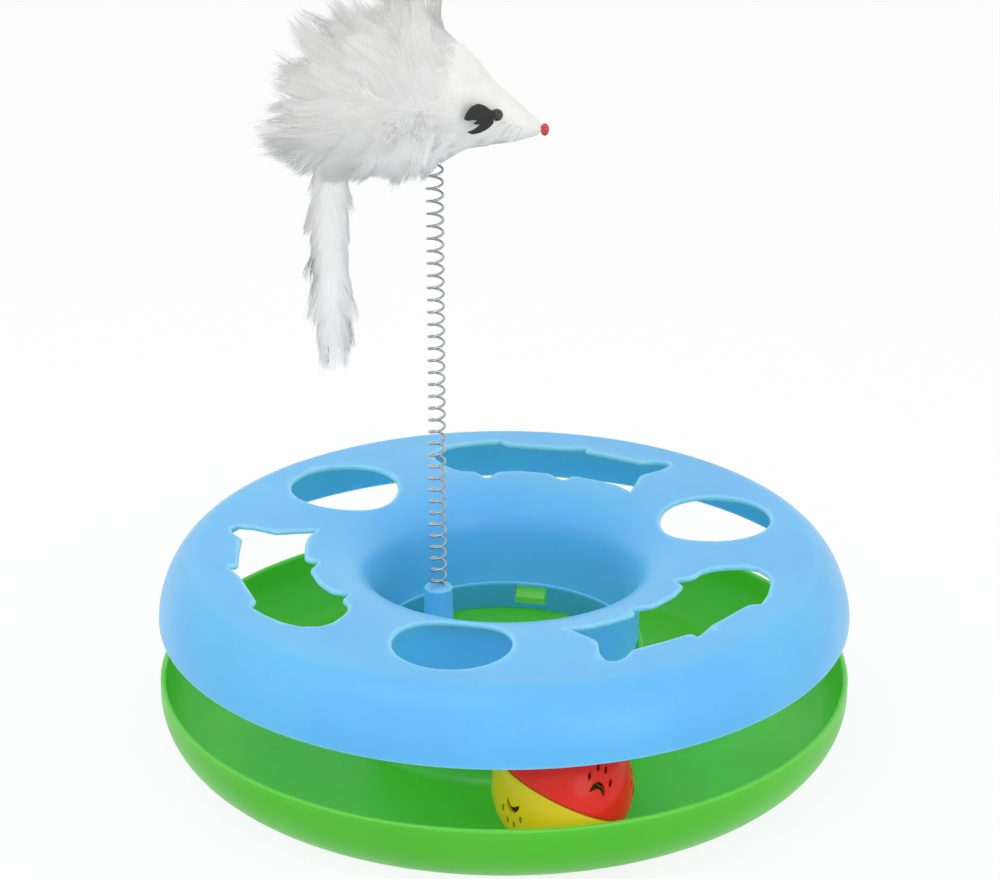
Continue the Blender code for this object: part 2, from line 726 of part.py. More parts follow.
def make_bell():
    """A small round bell lying in the bottom of the ball, with its pellet."""
    rest_z = BALL_CENTRE_Z - BALL_RADIUS + BALL_WALL + BELL_GAP + BELL_RADIUS
    centre = Vector((ball_centre().x, ball_centre().y, rest_z))
    upper = add_object("bell_upper", half_shell(BELL_RADIUS, BELL_WALL, 14, 4), "bell_brass")
    lower = add_object("bell_lower", half_shell(BELL_RADIUS, BELL_WALL, 14, 4), "bell_brass")
    slot = bmesh.new()
    bmesh.ops.create_cube(slot, size=1.0)
    bmesh.ops.scale(slot, vec=(BELL_SLOT, BELL_RADIUS * 1.5, BELL_RADIUS), verts=slot.verts[:])
    bmesh.ops.translate(slot, vec=(0.0, 0.0, BELL_RADIUS), verts=slot.verts[:])
    cutter = add_object("cutter_bell_slot", slot)
    for item in (lower, cutter):
        item.rotation_euler = (math.pi, 0.0, 0.0)
    for item in (upper, lower, cutter):
        item.location = centre
    cut(lower, cutter)
    pellet_z = rest_z - BELL_RADIUS + BELL_WALL + GAP + PELLET_RADIUS
    pellet = add_object("bell_pellet", ball_solid((0.0, 0.0, 0.0), PELLET_RADIUS), "spring_steel")
    # The slot in the bell's floor is narrower than the pellet, which rests across it
    pellet.location = (centre.x, centre.y, pellet_z)
    return [upper, lower, pellet]


def on_axis(name, place, children):
    """Hang the pieces on an empty that stands on their joint's axis."""
    guide = bpy.data.objects.new(name, None)
    guide.location = place
    guide.empty_display_size = 0.01
    bpy.context.scene.collection.objects.link(guide)
    bpy.context.view_layer.update()
    for child in children:
        child.parent = guide
        child.matrix_parent_inverse = guide.matrix_world.inverted()
    return guide


def main():
    clear_scene()
    make_tray()
    make_cover()
    spring = make_spring()
    on_axis("axis_sway_fore", (POST_X, 0.0, SPRING_FOOT_Z + SWAY_FORE_HEIGHT), [spring])
    mouse = [make_seat(), make_mouse_body(), make_mouse_head(), make_nose()]
    for side, label in SIDES:
        mouse.append(make_eye(side, label))
        mouse.append(make_ear(side, label))
    on_axis("axis_sway_side", (POST_X, 0.0, SPRING_FOOT_Z + SWAY_SIDE_HEIGHT), mouse)
    on_axis("axis_tail", tail_pivot(), [make_tail()])
    on_axis("axis_track", (0.0, 0.0, 0.0), make_ball() + make_bell())


main()
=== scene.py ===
"""Looks of the cat ball track toy: moulded plastic ring, bell ball, coil spring and long-haired mouse.

Metres, +Z up, in the frame of the CAD model. The mouse's nose points along +X.
"""

import json
import math

import bmesh
import bpy
import numpy as np
from mathutils import Matrix, Vector
from mathutils.kdtree import KDTree


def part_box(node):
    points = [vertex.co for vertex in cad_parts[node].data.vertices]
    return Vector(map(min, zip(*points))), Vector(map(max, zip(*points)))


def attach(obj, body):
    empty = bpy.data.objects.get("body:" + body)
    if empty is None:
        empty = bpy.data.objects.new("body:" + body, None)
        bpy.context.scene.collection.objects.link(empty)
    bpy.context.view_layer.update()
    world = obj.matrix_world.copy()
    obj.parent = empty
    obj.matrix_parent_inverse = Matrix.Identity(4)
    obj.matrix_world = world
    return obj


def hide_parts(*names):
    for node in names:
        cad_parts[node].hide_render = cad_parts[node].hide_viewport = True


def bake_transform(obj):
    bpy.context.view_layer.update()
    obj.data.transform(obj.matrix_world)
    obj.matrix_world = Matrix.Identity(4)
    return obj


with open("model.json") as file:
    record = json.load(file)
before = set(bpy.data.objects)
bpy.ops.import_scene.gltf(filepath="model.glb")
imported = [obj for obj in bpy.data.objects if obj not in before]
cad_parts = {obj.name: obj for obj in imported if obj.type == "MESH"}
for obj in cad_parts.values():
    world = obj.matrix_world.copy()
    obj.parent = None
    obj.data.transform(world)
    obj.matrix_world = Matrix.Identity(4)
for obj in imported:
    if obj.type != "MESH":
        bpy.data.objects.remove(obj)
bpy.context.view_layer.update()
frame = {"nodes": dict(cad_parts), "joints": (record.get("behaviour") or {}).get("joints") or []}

SEED = 7

# Camera: pinhole fitted to the ring's ellipses in the photograph
FRAME_WIDTH_PX = 1000.0
FOCAL_PX = 2800.0
SENSOR_MM = 36.0
CAMERA_PLACE = (-0.0015, -0.9212, 0.4809)
CAMERA_PITCH = 21.82

# Tray
TRAY_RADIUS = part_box("base_tray")[1].x
TRAY_RIM_Z = 0.0252
TRAY_CORNER = 0.0200
TRAY_WALL = 0.0020
HUB_FLOOR_Z = 0.0240
COLLAR_TOP_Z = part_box("base_tray")[1].z
COLLAR_BORE = 0.0486
COLLAR_FILLET = 0.0008
HUB_FLAT_RADIUS = 0.0440
HUB_FOOT = 0.0060
HOOK_AZIMUTH = 77.4
HOOK_COUNT = 3
HOOK_WIDTH = 0.0112
HOOK_TIP_RADIUS = 0.0450
HOOK_UNDER_Z = 0.0274
HOOK_TOP_Z = 0.0330
HOOK_NOSE_SHARE = 0.45
HOOK_BEVEL = 0.0003
TRAY_SIDES = 192

# Cover
COVER_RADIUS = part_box("top_cover")[1].x
COVER_WALL = 0.0019
COVER_LIP_Z = 0.0470
COVER_WIDEST_Z = 0.0485
BROW_CURVE = 1.7
RIDGE_RADIUS = 0.1105
RIDGE_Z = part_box("top_cover")[1].z
THROAT_Z = 0.0372
THROAT_CURVE = 5.0
TUBE_BORE = 0.0465
TUBE_WALL = 0.0018
TUBE_FOOT_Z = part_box("top_cover")[0].z
LEDGE_Z = 0.0352
LEDGE_STEP = 0.0006
LEDGE_CRISP = 0.0001
EDGE_BEAD = 0.0009
BEAD_DEPTH = 0.0008
BEAD_SIDES = 10
WINDOW_MARGIN = 0.0006
WINDOW_FROM, WINDOW_TO = 0.040, 0.054
COVER_SIDES = 240
# Points on each half of the dome's curve, in its table of heights and in the wall's section
DOME_SAMPLES, DOME_HEIGHTS, DOME_POINTS = 400, 120, 84
# Gap between the dome's inside and the tube's wall
TUBE_JOIN = 0.0002

# Cutouts
CUTOUT_COUNT = 3
ROUND_AZIMUTH = 257.6
ROUND_RADIUS = 0.0210
ROUND_CENTRE_RADIUS = 0.0815
ROUND_STEPS = 72
FISH_AZIMUTH = 318.5
FISH_STEP, FISH_FILLET = 0.0007, 0.0008
# The cutters start this far above the lip and end as far above the ridge
CUTTER_LIFT = 0.004
# The fish's outline, as degrees along the ring from its middle and metres from the axis
FISH_OUTLINE = (
    (-32.2, 0.0693), (-25.3, 0.0710), (-18.0, 0.0709), (-10.2, 0.0710), (-9.2, 0.0669), (-6.8, 0.0670),
    (-2.3, 0.0706), (6.5, 0.0710), (13.0, 0.0702), (16.2, 0.0659), (18.2, 0.0660), (20.5, 0.0710),
    (24.5, 0.0723), (27.2, 0.0756), (28.9, 0.0805), (29.8, 0.0865), (29.2, 0.0920), (26.0, 0.0972),
    (22.0, 0.0995), (17.0, 0.1010), (12.0, 0.1019), (10.5, 0.0984), (3.4, 0.0972), (-2.0, 0.0972),
    (-6.0, 0.0993), (-8.4, 0.1002), (-8.0, 0.0966), (-14.0, 0.0959), (-22.0, 0.0958), (-24.6, 0.0998),
    (-27.2, 0.1016), (-29.2, 0.0996), (-29.2, 0.0930), (-27.4, 0.0840), (-29.2, 0.0780),
)

# Post and spring
POST_X = -0.0238
POST_RADIUS = 0.0051
POST_TOP_Z = 0.0550
POST_FILLET = 0.0007
POST_FLARE, POST_NECK = 0.0009, 0.0002
POST_SIDES = 48
PLATE_EDGE_X = -0.0190
PLATE_FOOT_Z = 0.0246
PLATE_THICKNESS = 0.0020
PLATE_BEVEL = 0.0004
PLATE_STEPS = 48
WIRE_RADIUS = 0.00045
SPRING_RADIUS = 0.0028
SPRING_TURNS = 36
SPRING_STEPS = 22
WIRE_SIDES = 10
SPRING_FOOT_Z, SPRING_HEAD_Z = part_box("spring")[0].z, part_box("spring")[1].z
# Lengths of wire hidden in the post and in the belly's plug
SPRING_SUNK, SPRING_PLUGGED = 0.0006, 0.002

# Mouse: metres ahead of the spring, middle z, half width and half height of its skin, rear to nose
MOUSE_SECTIONS = (
    (-0.0450, 0.2286, 0.0035, 0.0040), (-0.0430, 0.2290, 0.0080, 0.0090), (-0.0380, 0.2300, 0.0128, 0.0145),
    (-0.0282, 0.2325, 0.0175, 0.0195), (-0.0159, 0.2350, 0.0198, 0.0222), (-0.0041, 0.2365, 0.0195, 0.0222),
    (0.0060, 0.2368, 0.0172, 0.0200), (0.0130, 0.2356, 0.0140, 0.0160), (0.0210, 0.2312, 0.0100, 0.0105),
    (0.0260, 0.2292, 0.0076, 0.0080), (0.0317, 0.2272, 0.0045, 0.0047), (0.0350, 0.2262, 0.0025, 0.0026),
    (0.0362, 0.2259, 0.0012, 0.0012),
)
SKIN_RINGS, SKIN_SIDES = 90, 48
TAIL_ROOT = next(Vector(j["pos_m"]) for j in frame["joints"] if j["name"] == "tail_swing")
TAIL_TOP = 0.0045
TAIL_STRIP_LENGTH = 0.0560
TAIL_STRIP_WIDTH = 0.0086
TAIL_NARROWS = 0.0012
TAIL_FLATNESS = 0.75
TAIL_RINGS, TAIL_SIDES = 24, 20
TAIL_HAIR = 0.0135
TAIL_HAIRS = 8000
# Place of the tail's hair roots, as shares of the strip's half width
TAIL_ROOTS = (0.92, 0.69, 0.0)

# Coat: count and radius of the hairs, and how far their normals lean to the skin's
BODY_HAIRS = 30000
HAIR_RADIUS = 0.000085
HAIR_POINTS, HAIR_SIDES = 6, 3
HAIR_SUNK = 0.0004
COAT_SHARE = 0.75
FUR_TOP = 0.2775
LONG_HAIR = 0.0155
SHORT_HAIR = 0.0022
LONG_HAIR_FROM = 0.0110
LONG_HAIR_FADE = 0.0150
WHORL_ALONG = -0.0060
WHORL_Z = 0.2320
# Large tufts and the locks in them: how many hairs lead one, and how far it draws the others in
TUFT_SHARE, TUFT_PULL = 0.008, 0.62
LOCK_SHARE, LOCK_PULL = 0.08, 0.82
# Half width plus half height at which the skin carries all its hairs
FULL_GIRTH = 0.042

# Snout, eyes and ears
# Metres ahead of the spring, upward share and length of the threads on one side of the snout
WHISKERS = ((0.0245, 0.25, 0.0085), (0.0262, -0.05, 0.0095), (0.0288, 0.10, 0.0080), (0.0300, -0.30, 0.0070))
WHISKER_RADIUS = 0.00006
WHISKER_DROOP = 0.0016
EYE_RADIUS = 0.0021
NOSE_RADIUS = 0.0019
NOSE_SHAPE = (0.80, 0.80, 1.15)
NOSE_BACK, NOSE_DROP = 0.0003, 0.0014
# Each lobe lies a little further out than the last
EAR_LIFTS = (0.0005, 0.0008, 0.0011)
EAR_THICKNESS = 0.0009
EAR_CUP = 0.00072
EAR_STEP, EAR_FILLET = 0.0004, 0.0005

# Ball
BALL_RADIUS = 0.0239
BALL_WALL = 0.0013
BALL_CENTRE = next(Vector(j["pos_m"]) for j in frame["joints"] if j["name"] == "ball_roll")
BALL_POLE = Vector((0.430, 0.172, 0.886)).normalized()
PAW_COUNT = 6
PAW_FROM_POLE = 66.0
PAW_TURNS = {"red": -11.3, "yellow": -3.0}
SEAM_GAP = 0.0003
SEAM_FILLET = 0.0004
BALL_SIDES = 96

# Light and floor; the camera sees the floor as this share of white and the rest as lit
WORLD_LIGHT = 0.80
FLOOR_WHITE, FLOOR_GLOW = 0.80, 1.03
FLOOR_SIZE, FLOOR_DROP = 6.0, 0.0002
# Place, target, size and power of each lamp
KEY_LAMP = ((-0.5, -0.6, 1.3), (0.0, 0.0, 0.05), 0.9, 3.6)
FILL_LAMP = ((0.7, -1.1, 0.5), (0.0, 0.0, 0.06), 0.8, 2.4)

# Plastics: where thin edges get a paler painted highlight and how strong it is, the painted teal of the green
# seen through the cover's foot, and the reach of light that scatters inside
EDGE_HIGHLIGHT_FROM, EDGE_HIGHLIGHT_TO = 0.51, 0.56
EDGE_HIGHLIGHT_SHARE, EDGE_HIGHLIGHT_POWER = 0.65, 0.60
TEAL_FADE, TEAL_SHARE = 0.0012, 0.85
GLOW_DEPTH = 0.004

# Colours
BLUE = (0.140, 0.530, 0.930, 1.0)
TEAL = (0.055, 0.400, 0.560, 1.0)
GREEN = (0.095, 0.560, 0.028, 1.0)
RED = (0.720, 0.020, 0.010, 1.0)
YELLOW = (0.660, 0.530, 0.010, 1.0)
FUR = (0.985, 0.984, 0.972, 1.0)

# Degrees between two faces past which their edge is drawn sharp
CREASE, FELT_CREASE, SOFT_CREASE = 40.0, 50.0, 80.0


# Node helpers

def new_material(name):
    made = bpy.data.materials.new(name)
    made.use_nodes = True
    return made, made.node_tree.nodes, made.node_tree.links


def new_surface(name):
    """A new material with its nodes, links, shader and object coordinates."""
    made, nodes, links = new_material(name)
    return made, nodes, links, nodes["Principled BSDF"], nodes.new("ShaderNodeTexCoord").outputs["Object"]


def set_inputs(node, values):
    for name, value in values.items():
        node.inputs[name].default_value = value


def noise(nodes, links, coordinates, scale, detail=3.0, roughness=0.5):
    made = nodes.new("ShaderNodeTexNoise")
    set_inputs(made, {"Scale": scale, "Detail": detail, "Roughness": roughness})
    links.new(coordinates, made.inputs["Vector"])
    return made.outputs["Fac"]


def ramp(nodes, links, value, low, high, to_low, to_high):
    made = nodes.new("ShaderNodeMapRange")
    set_inputs(made, {"From Min": low, "From Max": high, "To Min": to_low, "To Max": to_high})
    links.new(value, made.inputs["Value"])
    return made.outputs["Result"]


def over_noise(nodes, links, value, to_low, to_high):
    """Stretch the middle of a noise to a range."""
    return ramp(nodes, links, value, 0.3, 0.7, to_low, to_high)


def mixed(nodes, links, share, first, second):
    """Mix two colours, each a colour value or a socket."""
    made = nodes.new("ShaderNodeMix")
    made.data_type = "RGBA"
    links.new(share, made.inputs["Factor"])
    for socket, colour in ((made.inputs[6], first), (made.inputs[7], second)):
        if isinstance(colour, tuple):
            socket.default_value = colour
        else:
            links.new(colour, socket)
    return made.outputs[2]


def bump(nodes, links, height, strength, distance):
    made = nodes.new("ShaderNodeBump")
    set_inputs(made, {"Strength": strength, "Distance": distance})
    links.new(height, made.inputs["Height"])
    return made.outputs["Normal"]


def shade(colour, factor):
    return tuple(min(1.0, c * factor) for c in colour[:3]) + (1.0,)


def rays_of(nodes, links, *kinds):
    """1 for rays of the kinds named, 0 for the rest."""
    path = nodes.new("ShaderNodeLightPath")
    total = path.outputs[f"Is {kinds[0]} Ray"]
    for kind in kinds[1:]:
        either = nodes.new("ShaderNodeMath")
        either.operation = "MAXIMUM"
        links.new(total, either.inputs[0])
        links.new(path.outputs[f"Is {kind} Ray"], either.inputs[1])
        total = either.outputs[0]
    return total


# Materials

def let_light_through(nodes, links, shader, share, tint):
    """A thin moulding lets part of the light on to what lies behind it, tinted by its colour."""
    lighting = rays_of(nodes, links, "Shadow", "Diffuse")
    part = nodes.new("ShaderNodeMath")
    part.operation = "MULTIPLY"
    part.inputs[1].default_value = share
    links.new(lighting, part.inputs[0])
    clear = nodes.new("ShaderNodeBsdfTransparent")
    clear.inputs["Color"].default_value = tint
    mix = nodes.new("ShaderNodeMixShader")
    links.new(part.outputs[0], mix.inputs[0])
    links.new(shader.outputs[0], mix.inputs[1])
    links.new(clear.outputs[0], mix.inputs[2])
    links.new(mix.outputs[0], nodes["Material Output"].inputs["Surface"])


def moulded_plastic(name, colour, roughness, glow=0.0, spread=(1.0, 1.0, 1.0),
                    passed=0.0, stain=0.0, teal=False):
    """Injection moulded plastic with faint flow streaks, and a painted highlight that makes its thin edges
    paler.

    Glow is the share that scatters inside and spread its reach in each colour. Passed is the share of light
    that a wall lets through, and stain how much of the colour that light takes on.
    """
    made, nodes, links, shader, place = new_surface(name)
    flow = noise(nodes, links, place, 18.0, 2.0)
    streak = over_noise(nodes, links, flow, 0.0, 1.0)
    tint = mixed(nodes, links, streak, shade(colour, 0.95), shade(colour, 1.05))
    if passed:
        # Painted highlight: thin, sharp edges are mixed towards a paler tone of the colour.
        edge = nodes.new("ShaderNodeNewGeometry").outputs["Pointiness"]
        rim = ramp(nodes, links, edge, EDGE_HIGHLIGHT_FROM, EDGE_HIGHLIGHT_TO, 0.0, EDGE_HIGHLIGHT_SHARE)
        tint = mixed(nodes, links, rim, tint, tuple(c ** EDGE_HIGHLIGHT_POWER for c in colour[:3]) + (1.0,))
    # Painted light: below the collar's top the tube's foot is mixed towards teal, the green tray as seen
    # through the blue wall.
    if teal:
        split = nodes.new("ShaderNodeSeparateXYZ")
        links.new(place, split.inputs[0])
        foot = ramp(nodes, links, split.outputs["Z"], COLLAR_TOP_Z, COLLAR_TOP_Z + TEAL_FADE, TEAL_SHARE, 0.0)
        tint = mixed(nodes, links, foot, tint, TEAL)
    links.new(tint, shader.inputs["Base Color"])
    haze = noise(nodes, links, place, 45.0, 2.0)
    haze = over_noise(nodes, links, haze, roughness - 0.03, roughness + 0.05)
    links.new(haze, shader.inputs["Roughness"])
    links.new(bump(nodes, links, flow, 0.05, 0.0010), shader.inputs["Normal"])
    set_inputs(shader, {
        "IOR": 1.46, "Specular IOR Level": 0.25 + 0.25 * glow,
        "Subsurface Weight": glow, "Subsurface Radius": spread, "Subsurface Scale": GLOW_DEPTH,
    })
    if passed:
        strongest = max(colour[:3])
        tint = tuple((c / strongest) ** stain for c in colour[:3]) + (1.0,)
        let_light_through(nodes, links, shader, passed, tint)
    return made


def spring_wire():
    """Bright drawn wire with fine lines along its turns and a little oil bloom."""
    made, nodes, links, shader, place = new_surface("spring_wire")
    bloom = noise(nodes, links, place, 260.0, 4.0)
    tint = mixed(nodes, links, bloom, (0.30, 0.31, 0.32, 1.0), (0.58, 0.59, 0.60, 1.0))
    links.new(tint, shader.inputs["Base Color"])
    lines = noise(nodes, links, place, 2400.0, 2.0)
    links.new(over_noise(nodes, links, lines, 0.12, 0.24), shader.inputs["Roughness"])
    links.new(bump(nodes, links, lines, 0.15, 0.0001), shader.inputs["Normal"])
    shader.inputs["Metallic"].default_value = 1.0
    return made


def fur_material(name, colour):
    """White hair: slightly warmer and cooler tufts, and a soft sheen."""
    made, nodes, links, shader, place = new_surface(name)
    tufts = ramp(nodes, links, noise(nodes, links, place, 160.0, 3.0), 0.35, 0.65, 0.0, 1.0)
    tint = mixed(nodes, links, tufts, shade(colour, 0.955), shade(colour, 1.03))
    links.new(tint, shader.inputs["Base Color"])
    fine = noise(nodes, links, place, 1500.0, 1.0)
    links.new(over_noise(nodes, links, fine, 0.55, 0.75), shader.inputs["Roughness"])
    links.new(bump(nodes, links, fine, 0.2, 0.0002), shader.inputs["Normal"])
    set_inputs(shader, {"Specular IOR Level": 0.25, "Sheen Weight": 0.25})
    return made


def felt_material():
    """Matt black felt with short fibres."""
    made, nodes, links, shader, place = new_surface("black_felt_fibre")
    fibre = noise(nodes, links, place, 1300.0, 5.0, 0.7)
    tint = mixed(nodes, links, fibre, (0.006, 0.006, 0.006, 1.0), (0.035, 0.034, 0.032, 1.0))
    links.new(tint, shader.inputs["Base Color"])
    links.new(over_noise(nodes, links, fibre, 0.60, 0.90), shader.inputs["Roughness"])
    links.new(bump(nodes, links, fibre, 0.6, 0.0003), shader.inputs["Normal"])
    shader.inputs["Sheen Weight"].default_value = 0.1
    return made


def bead_material(name, colour, roughness):
    """Glossy bead or thread, a little cloudy."""
    made, nodes, links, shader, place = new_surface(name)
    cloud = noise(nodes, links, place, 500.0, 3.0)
    tint = mixed(nodes, links, cloud, shade(colour, 0.8), shade(colour, 1.15))
    links.new(tint, shader.inputs["Base Color"])
    links.new(over_noise(nodes, links, cloud, roughness, roughness + 0.08), shader.inputs["Roughness"])
    shader.inputs["Coat Weight"].default_value = 0.5
    return made


def bell_metal():
    """Brass with faint stains."""
    made, nodes, links, shader, place = new_surface("bell_metal")
    stain = noise(nodes, links, place, 320.0, 4.0)
    tint = mixed(nodes, links, stain, (0.62, 0.48, 0.22, 1.0), (0.83, 0.68, 0.36, 1.0))
    links.new(tint, shader.inputs["Base Color"])
    links.new(over_noise(nodes, links, stain, 0.22, 0.38), shader.inputs["Roughness"])
    shader.inputs["Metallic"].default_value = 1.0
    return made


BLUE_PLASTIC = moulded_plastic(
    "blue_moulding", BLUE, 0.32, glow=1.0, spread=(1.0, 0.7, 0.3), passed=0.96, stain=0.28, teal=True,
)
GREEN_PLASTIC = moulded_plastic(
    "green_moulding", GREEN, 0.36, glow=1.0, spread=(1.0, 0.7, 1.0), passed=0.85, stain=0.04,
)
RED_PLASTIC = moulded_plastic("red_moulding", RED, 0.20, glow=0.1)
YELLOW_PLASTIC = moulded_plastic("yellow_moulding", YELLOW, 0.20, glow=0.1)
SEAT_PLASTIC = moulded_plastic("seat_moulding", (0.80, 0.80, 0.78, 1.0), 0.45)
WIRE = spring_wire()
FUR_HAIR = fur_material("fur_hair", FUR)
FUR_SKIN = fur_material("fur_skin", shade(FUR, 0.90))
FELT = felt_material()
EYE_BEAD = bead_material("eye_bead", (0.008, 0.008, 0.008, 1.0), 0.08)
NOSE_BEAD = bead_material("nose_bead", (0.62, 0.025, 0.030, 1.0), 0.25)
WHISKER = bead_material("whisker_thread", (0.30, 0.29, 0.28, 1.0), 0.35)
BELL_METAL = bell_metal()


# Shape helpers

def shade_by_angle(mesh, degrees):
    mesh.shade_smooth()
    mesh.set_sharp_from_angle(angle=math.radians(degrees))


def new_object(name, data):
    made = bpy.data.objects.new(name, data)
    bpy.context.scene.collection.objects.link(made)
    return made


def add_piece(name, bm, material, body, nodes=(), crease=CREASE):
    """Turn a bmesh into a piece that rides on a body and stands for CAD nodes."""
    bmesh.ops.recalc_face_normals(bm, faces=bm.faces[:])
    mesh = bpy.data.meshes.new(name)
    bm.to_mesh(mesh)
    bm.free()
    shade_by_angle(mesh, crease)
    mesh.materials.append(material)
    made = new_object(name, mesh)
    if body:
        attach(made, body)
    if nodes:
        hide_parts(*nodes)
    return made


def turned(points, steps):
    """Turn a closed outline of (radius, z) points once round the Z axis."""
    bm = bmesh.new()
    rings = []
    for i in range(steps):
        c, s = math.cos(math.tau * i / steps), math.sin(math.tau * i / steps)
        rings.append([bm.verts.new((r * c, r * s, z)) for r, z in points])
    for i in range(steps):
        here, there = rings[i], rings[(i + 1) % steps]
        for j in range(len(points)):
            k = (j + 1) % len(points)
            bm.faces.new((here[j], there[j], there[k], here[k]))
    bmesh.ops.remove_doubles(bm, verts=bm.verts[:], dist=0.000001)
    bmesh.ops.dissolve_degenerate(bm, edges=bm.edges[:], dist=0.000001)
    return bm


def polar(radius, degrees):
    angle = math.radians(degrees)
    return (radius * math.cos(angle), radius * math.sin(angle))


def arc(centre, radius, start, end, steps):
    points = []
    for i in range(steps + 1):
        x, y = polar(radius, start + (end - start) * i / steps)
        points.append((centre[0] + x, centre[1] + y))
    return points


def band(bm, first, second):
    """Faces between two closed rings with the same number of points."""
    faces = []
    for i in range(len(first)):
        j = (i + 1) % len(first)
        faces.append(bm.faces.new((first[i], first[j], second[j], second[i])))
    return faces


def prism(bm, outline, low, high):
    """Add a solid between two heights over a closed outline, and return its points."""
    base = [bm.verts.new((x, y, low)) for x, y in outline]
    top = [bm.verts.new((x, y, high)) for x, y in outline]
    bm.faces.new(base[::-1])
    bm.faces.new(top)
    band(bm, base, top)
    return base + top


def tube(bm, points, radius, sides, closed=False):
    """Add a round tube along a line of points, its rings kept square to the line."""
    rings = []
    count = len(points)
    side = None
    for i, point in enumerate(points):
        before = points[i - 1] if i or closed else points[0]
        after = points[(i + 1) % count] if i < count - 1 or closed else points[-1]
        along = (after - before).normalized()
        if side is None:
            side = along.orthogonal().normalized()
        side = (side - along * side.dot(along)).normalized()
        other = along.cross(side)
        ring = []
        for j in range(sides):
            angle = math.tau * j / sides
            ring.append(bm.verts.new(point + (side * math.cos(angle) + other * math.sin(angle)) * radius))
        rings.append(ring)
    pairs = list(zip(rings, rings[1:]))
    if closed:
        shift = min(range(sides), key=lambda k: (rings[0][k].co - rings[-1][0].co).length)
        pairs.append((rings[-1], rings[0][shift:] + rings[0][:shift]))
    else:
        bm.faces.new(rings[0][::-1])
        bm.faces.new(rings[-1])
    for first, second in pairs:
        band(bm, first, second)


def cut_away(target, cutter):
    """Cut with an exact boolean, apply it and remove the cutter."""
    modifier = target.modifiers.new("cut", "BOOLEAN")
    modifier.operation = "DIFFERENCE"
    modifier.solver = "EXACT"
    modifier.object = cutter
    shaped = target.evaluated_get(bpy.context.evaluated_depsgraph_get())
    mesh = bpy.data.meshes.new_from_object(shaped)
    target.modifiers.clear()
    target.data = mesh
    bpy.data.objects.remove(cutter, do_unlink=True)


def rounded_loop(corners, step, fillet):
    """A closed outline with its corners rounded and points every step or so."""
    dense = []
    count = len(corners)
    for i in range(count):
        a, b = Vector(corners[i]), Vector(corners[(i + 1) % count])
        parts = max(1, round((b - a).length / step))
        dense += [a.lerp(b, k / parts) for k in range(parts)]
    window = max(1, round(fillet / step))
    for _ in range(2):
        smooth = []
        for i in range(len(dense)):
            near = [dense[(i + k) % len(dense)] for k in range(-window, window + 1)]
            smooth.append(sum(near, Vector((0.0, 0.0))) / len(near))
        dense = smooth
    return dense


# Tray

def make_tray():
    corner = (TRAY_RADIUS - TRAY_CORNER, TRAY_CORNER)
    collar_outer = COLLAR_BORE + TRAY_WALL
    foot = (collar_outer + HUB_FOOT, TRAY_WALL + HUB_FOOT)
    lip = TRAY_WALL * 0.5
    rim = (TRAY_RADIUS - TRAY_WALL / 2, TRAY_RIM_Z - lip)
    inset = (COLLAR_BORE - COLLAR_FILLET, HUB_FLOOR_Z + COLLAR_FILLET)
    points = [(0.0, HUB_FLOOR_Z), (HUB_FLAT_RADIUS, HUB_FLOOR_Z)]
    points += arc(inset, COLLAR_FILLET, -90.0, 0.0, 4)
    points += arc((COLLAR_BORE + TRAY_WALL / 2, COLLAR_TOP_Z - TRAY_WALL / 2), TRAY_WALL / 2, 180.0, 0.0, 8)
    points += arc(foot, HUB_FOOT, 180.0, 270.0, 10)
    points += arc(corner, TRAY_CORNER - TRAY_WALL, 270.0, 360.0, 24)
    points += arc(rim, lip, 180.0, 0.0, 10)
    points += arc(corner, TRAY_CORNER, 0.0, -90.0, 24)
    points += arc(foot, HUB_FOOT + TRAY_WALL, 270.0, 180.0, 10)
    points += [(collar_outer - TRAY_WALL, HUB_FLOOR_Z - TRAY_WALL), (0.0, HUB_FLOOR_Z - TRAY_WALL)]
    add_piece("tray", turned(points, TRAY_SIDES), GREEN_PLASTIC, "base_body", ["base_tray"])
    hooks = bmesh.new()
    for i in range(HOOK_COUNT):
        add_hook(hooks, HOOK_AZIMUTH + 360.0 * i / HOOK_COUNT)
    add_piece("tray_hooks", hooks, GREEN_PLASTIC, "base_body")


def add_hook(bm, azimuth):
    """One snap hook: flat underneath and sloping on top, with softened edges."""
    root = COLLAR_BORE + TRAY_WALL / 2
    nose_z = HOOK_UNDER_Z + (HOOK_TOP_Z - HOOK_UNDER_Z) * HOOK_NOSE_SHARE
    section = [
        (root, HOOK_UNDER_Z), (HOOK_TIP_RADIUS, HOOK_UNDER_Z), (HOOK_TIP_RADIUS, nose_z),
        (COLLAR_BORE, HOOK_TOP_Z), (root, HOOK_TOP_Z),
    ]
    turn = Matrix.Rotation(math.radians(azimuth), 4, "Z")
    sides = []
    for y in (-HOOK_WIDTH / 2, HOOK_WIDTH / 2):
        sides.append([bm.verts.new(turn @ Vector((x, y, z))) for x, z in section])
    faces = [bm.faces.new(sides[0]), bm.faces.new(sides[1][::-1])]
    faces += band(bm, *sides)
    edges = list({edge for face in faces for edge in face.edges})
    bmesh.ops.bevel(
        bm, geom=edges, offset=HOOK_BEVEL, segments=2, profile=0.6, affect="EDGES", clamp_overlap=True,
    )


# Cover

def throat_point(share):
    """A point on the dome's inner half, from the throat at 0 to the ridge at 1."""
    reach = RIDGE_RADIUS - TUBE_BORE - LEDGE_STEP
    angle = share * math.pi / 2
    x = math.cos(angle) ** (2 / THROAT_CURVE)
    y = math.sin(angle) ** (2 / THROAT_CURVE)
    return (RIDGE_RADIUS - reach * x, THROAT_Z + (RIDGE_Z - THROAT_Z) * y)


def brow_point(share):
    """A point on the dome's outer half, from the ridge at 0 to the widest ring at 1."""
    reach, rise = COVER_RADIUS - RIDGE_RADIUS, RIDGE_Z - COVER_WIDEST_Z
    angle = share * math.pi / 2
    x = math.sin(angle) ** (2 / BROW_CURVE)
    y = max(math.cos(angle), 0.0) ** (2 / BROW_CURVE)
    return (RIDGE_RADIUS + reach * x, COVER_WIDEST_Z + rise * y)


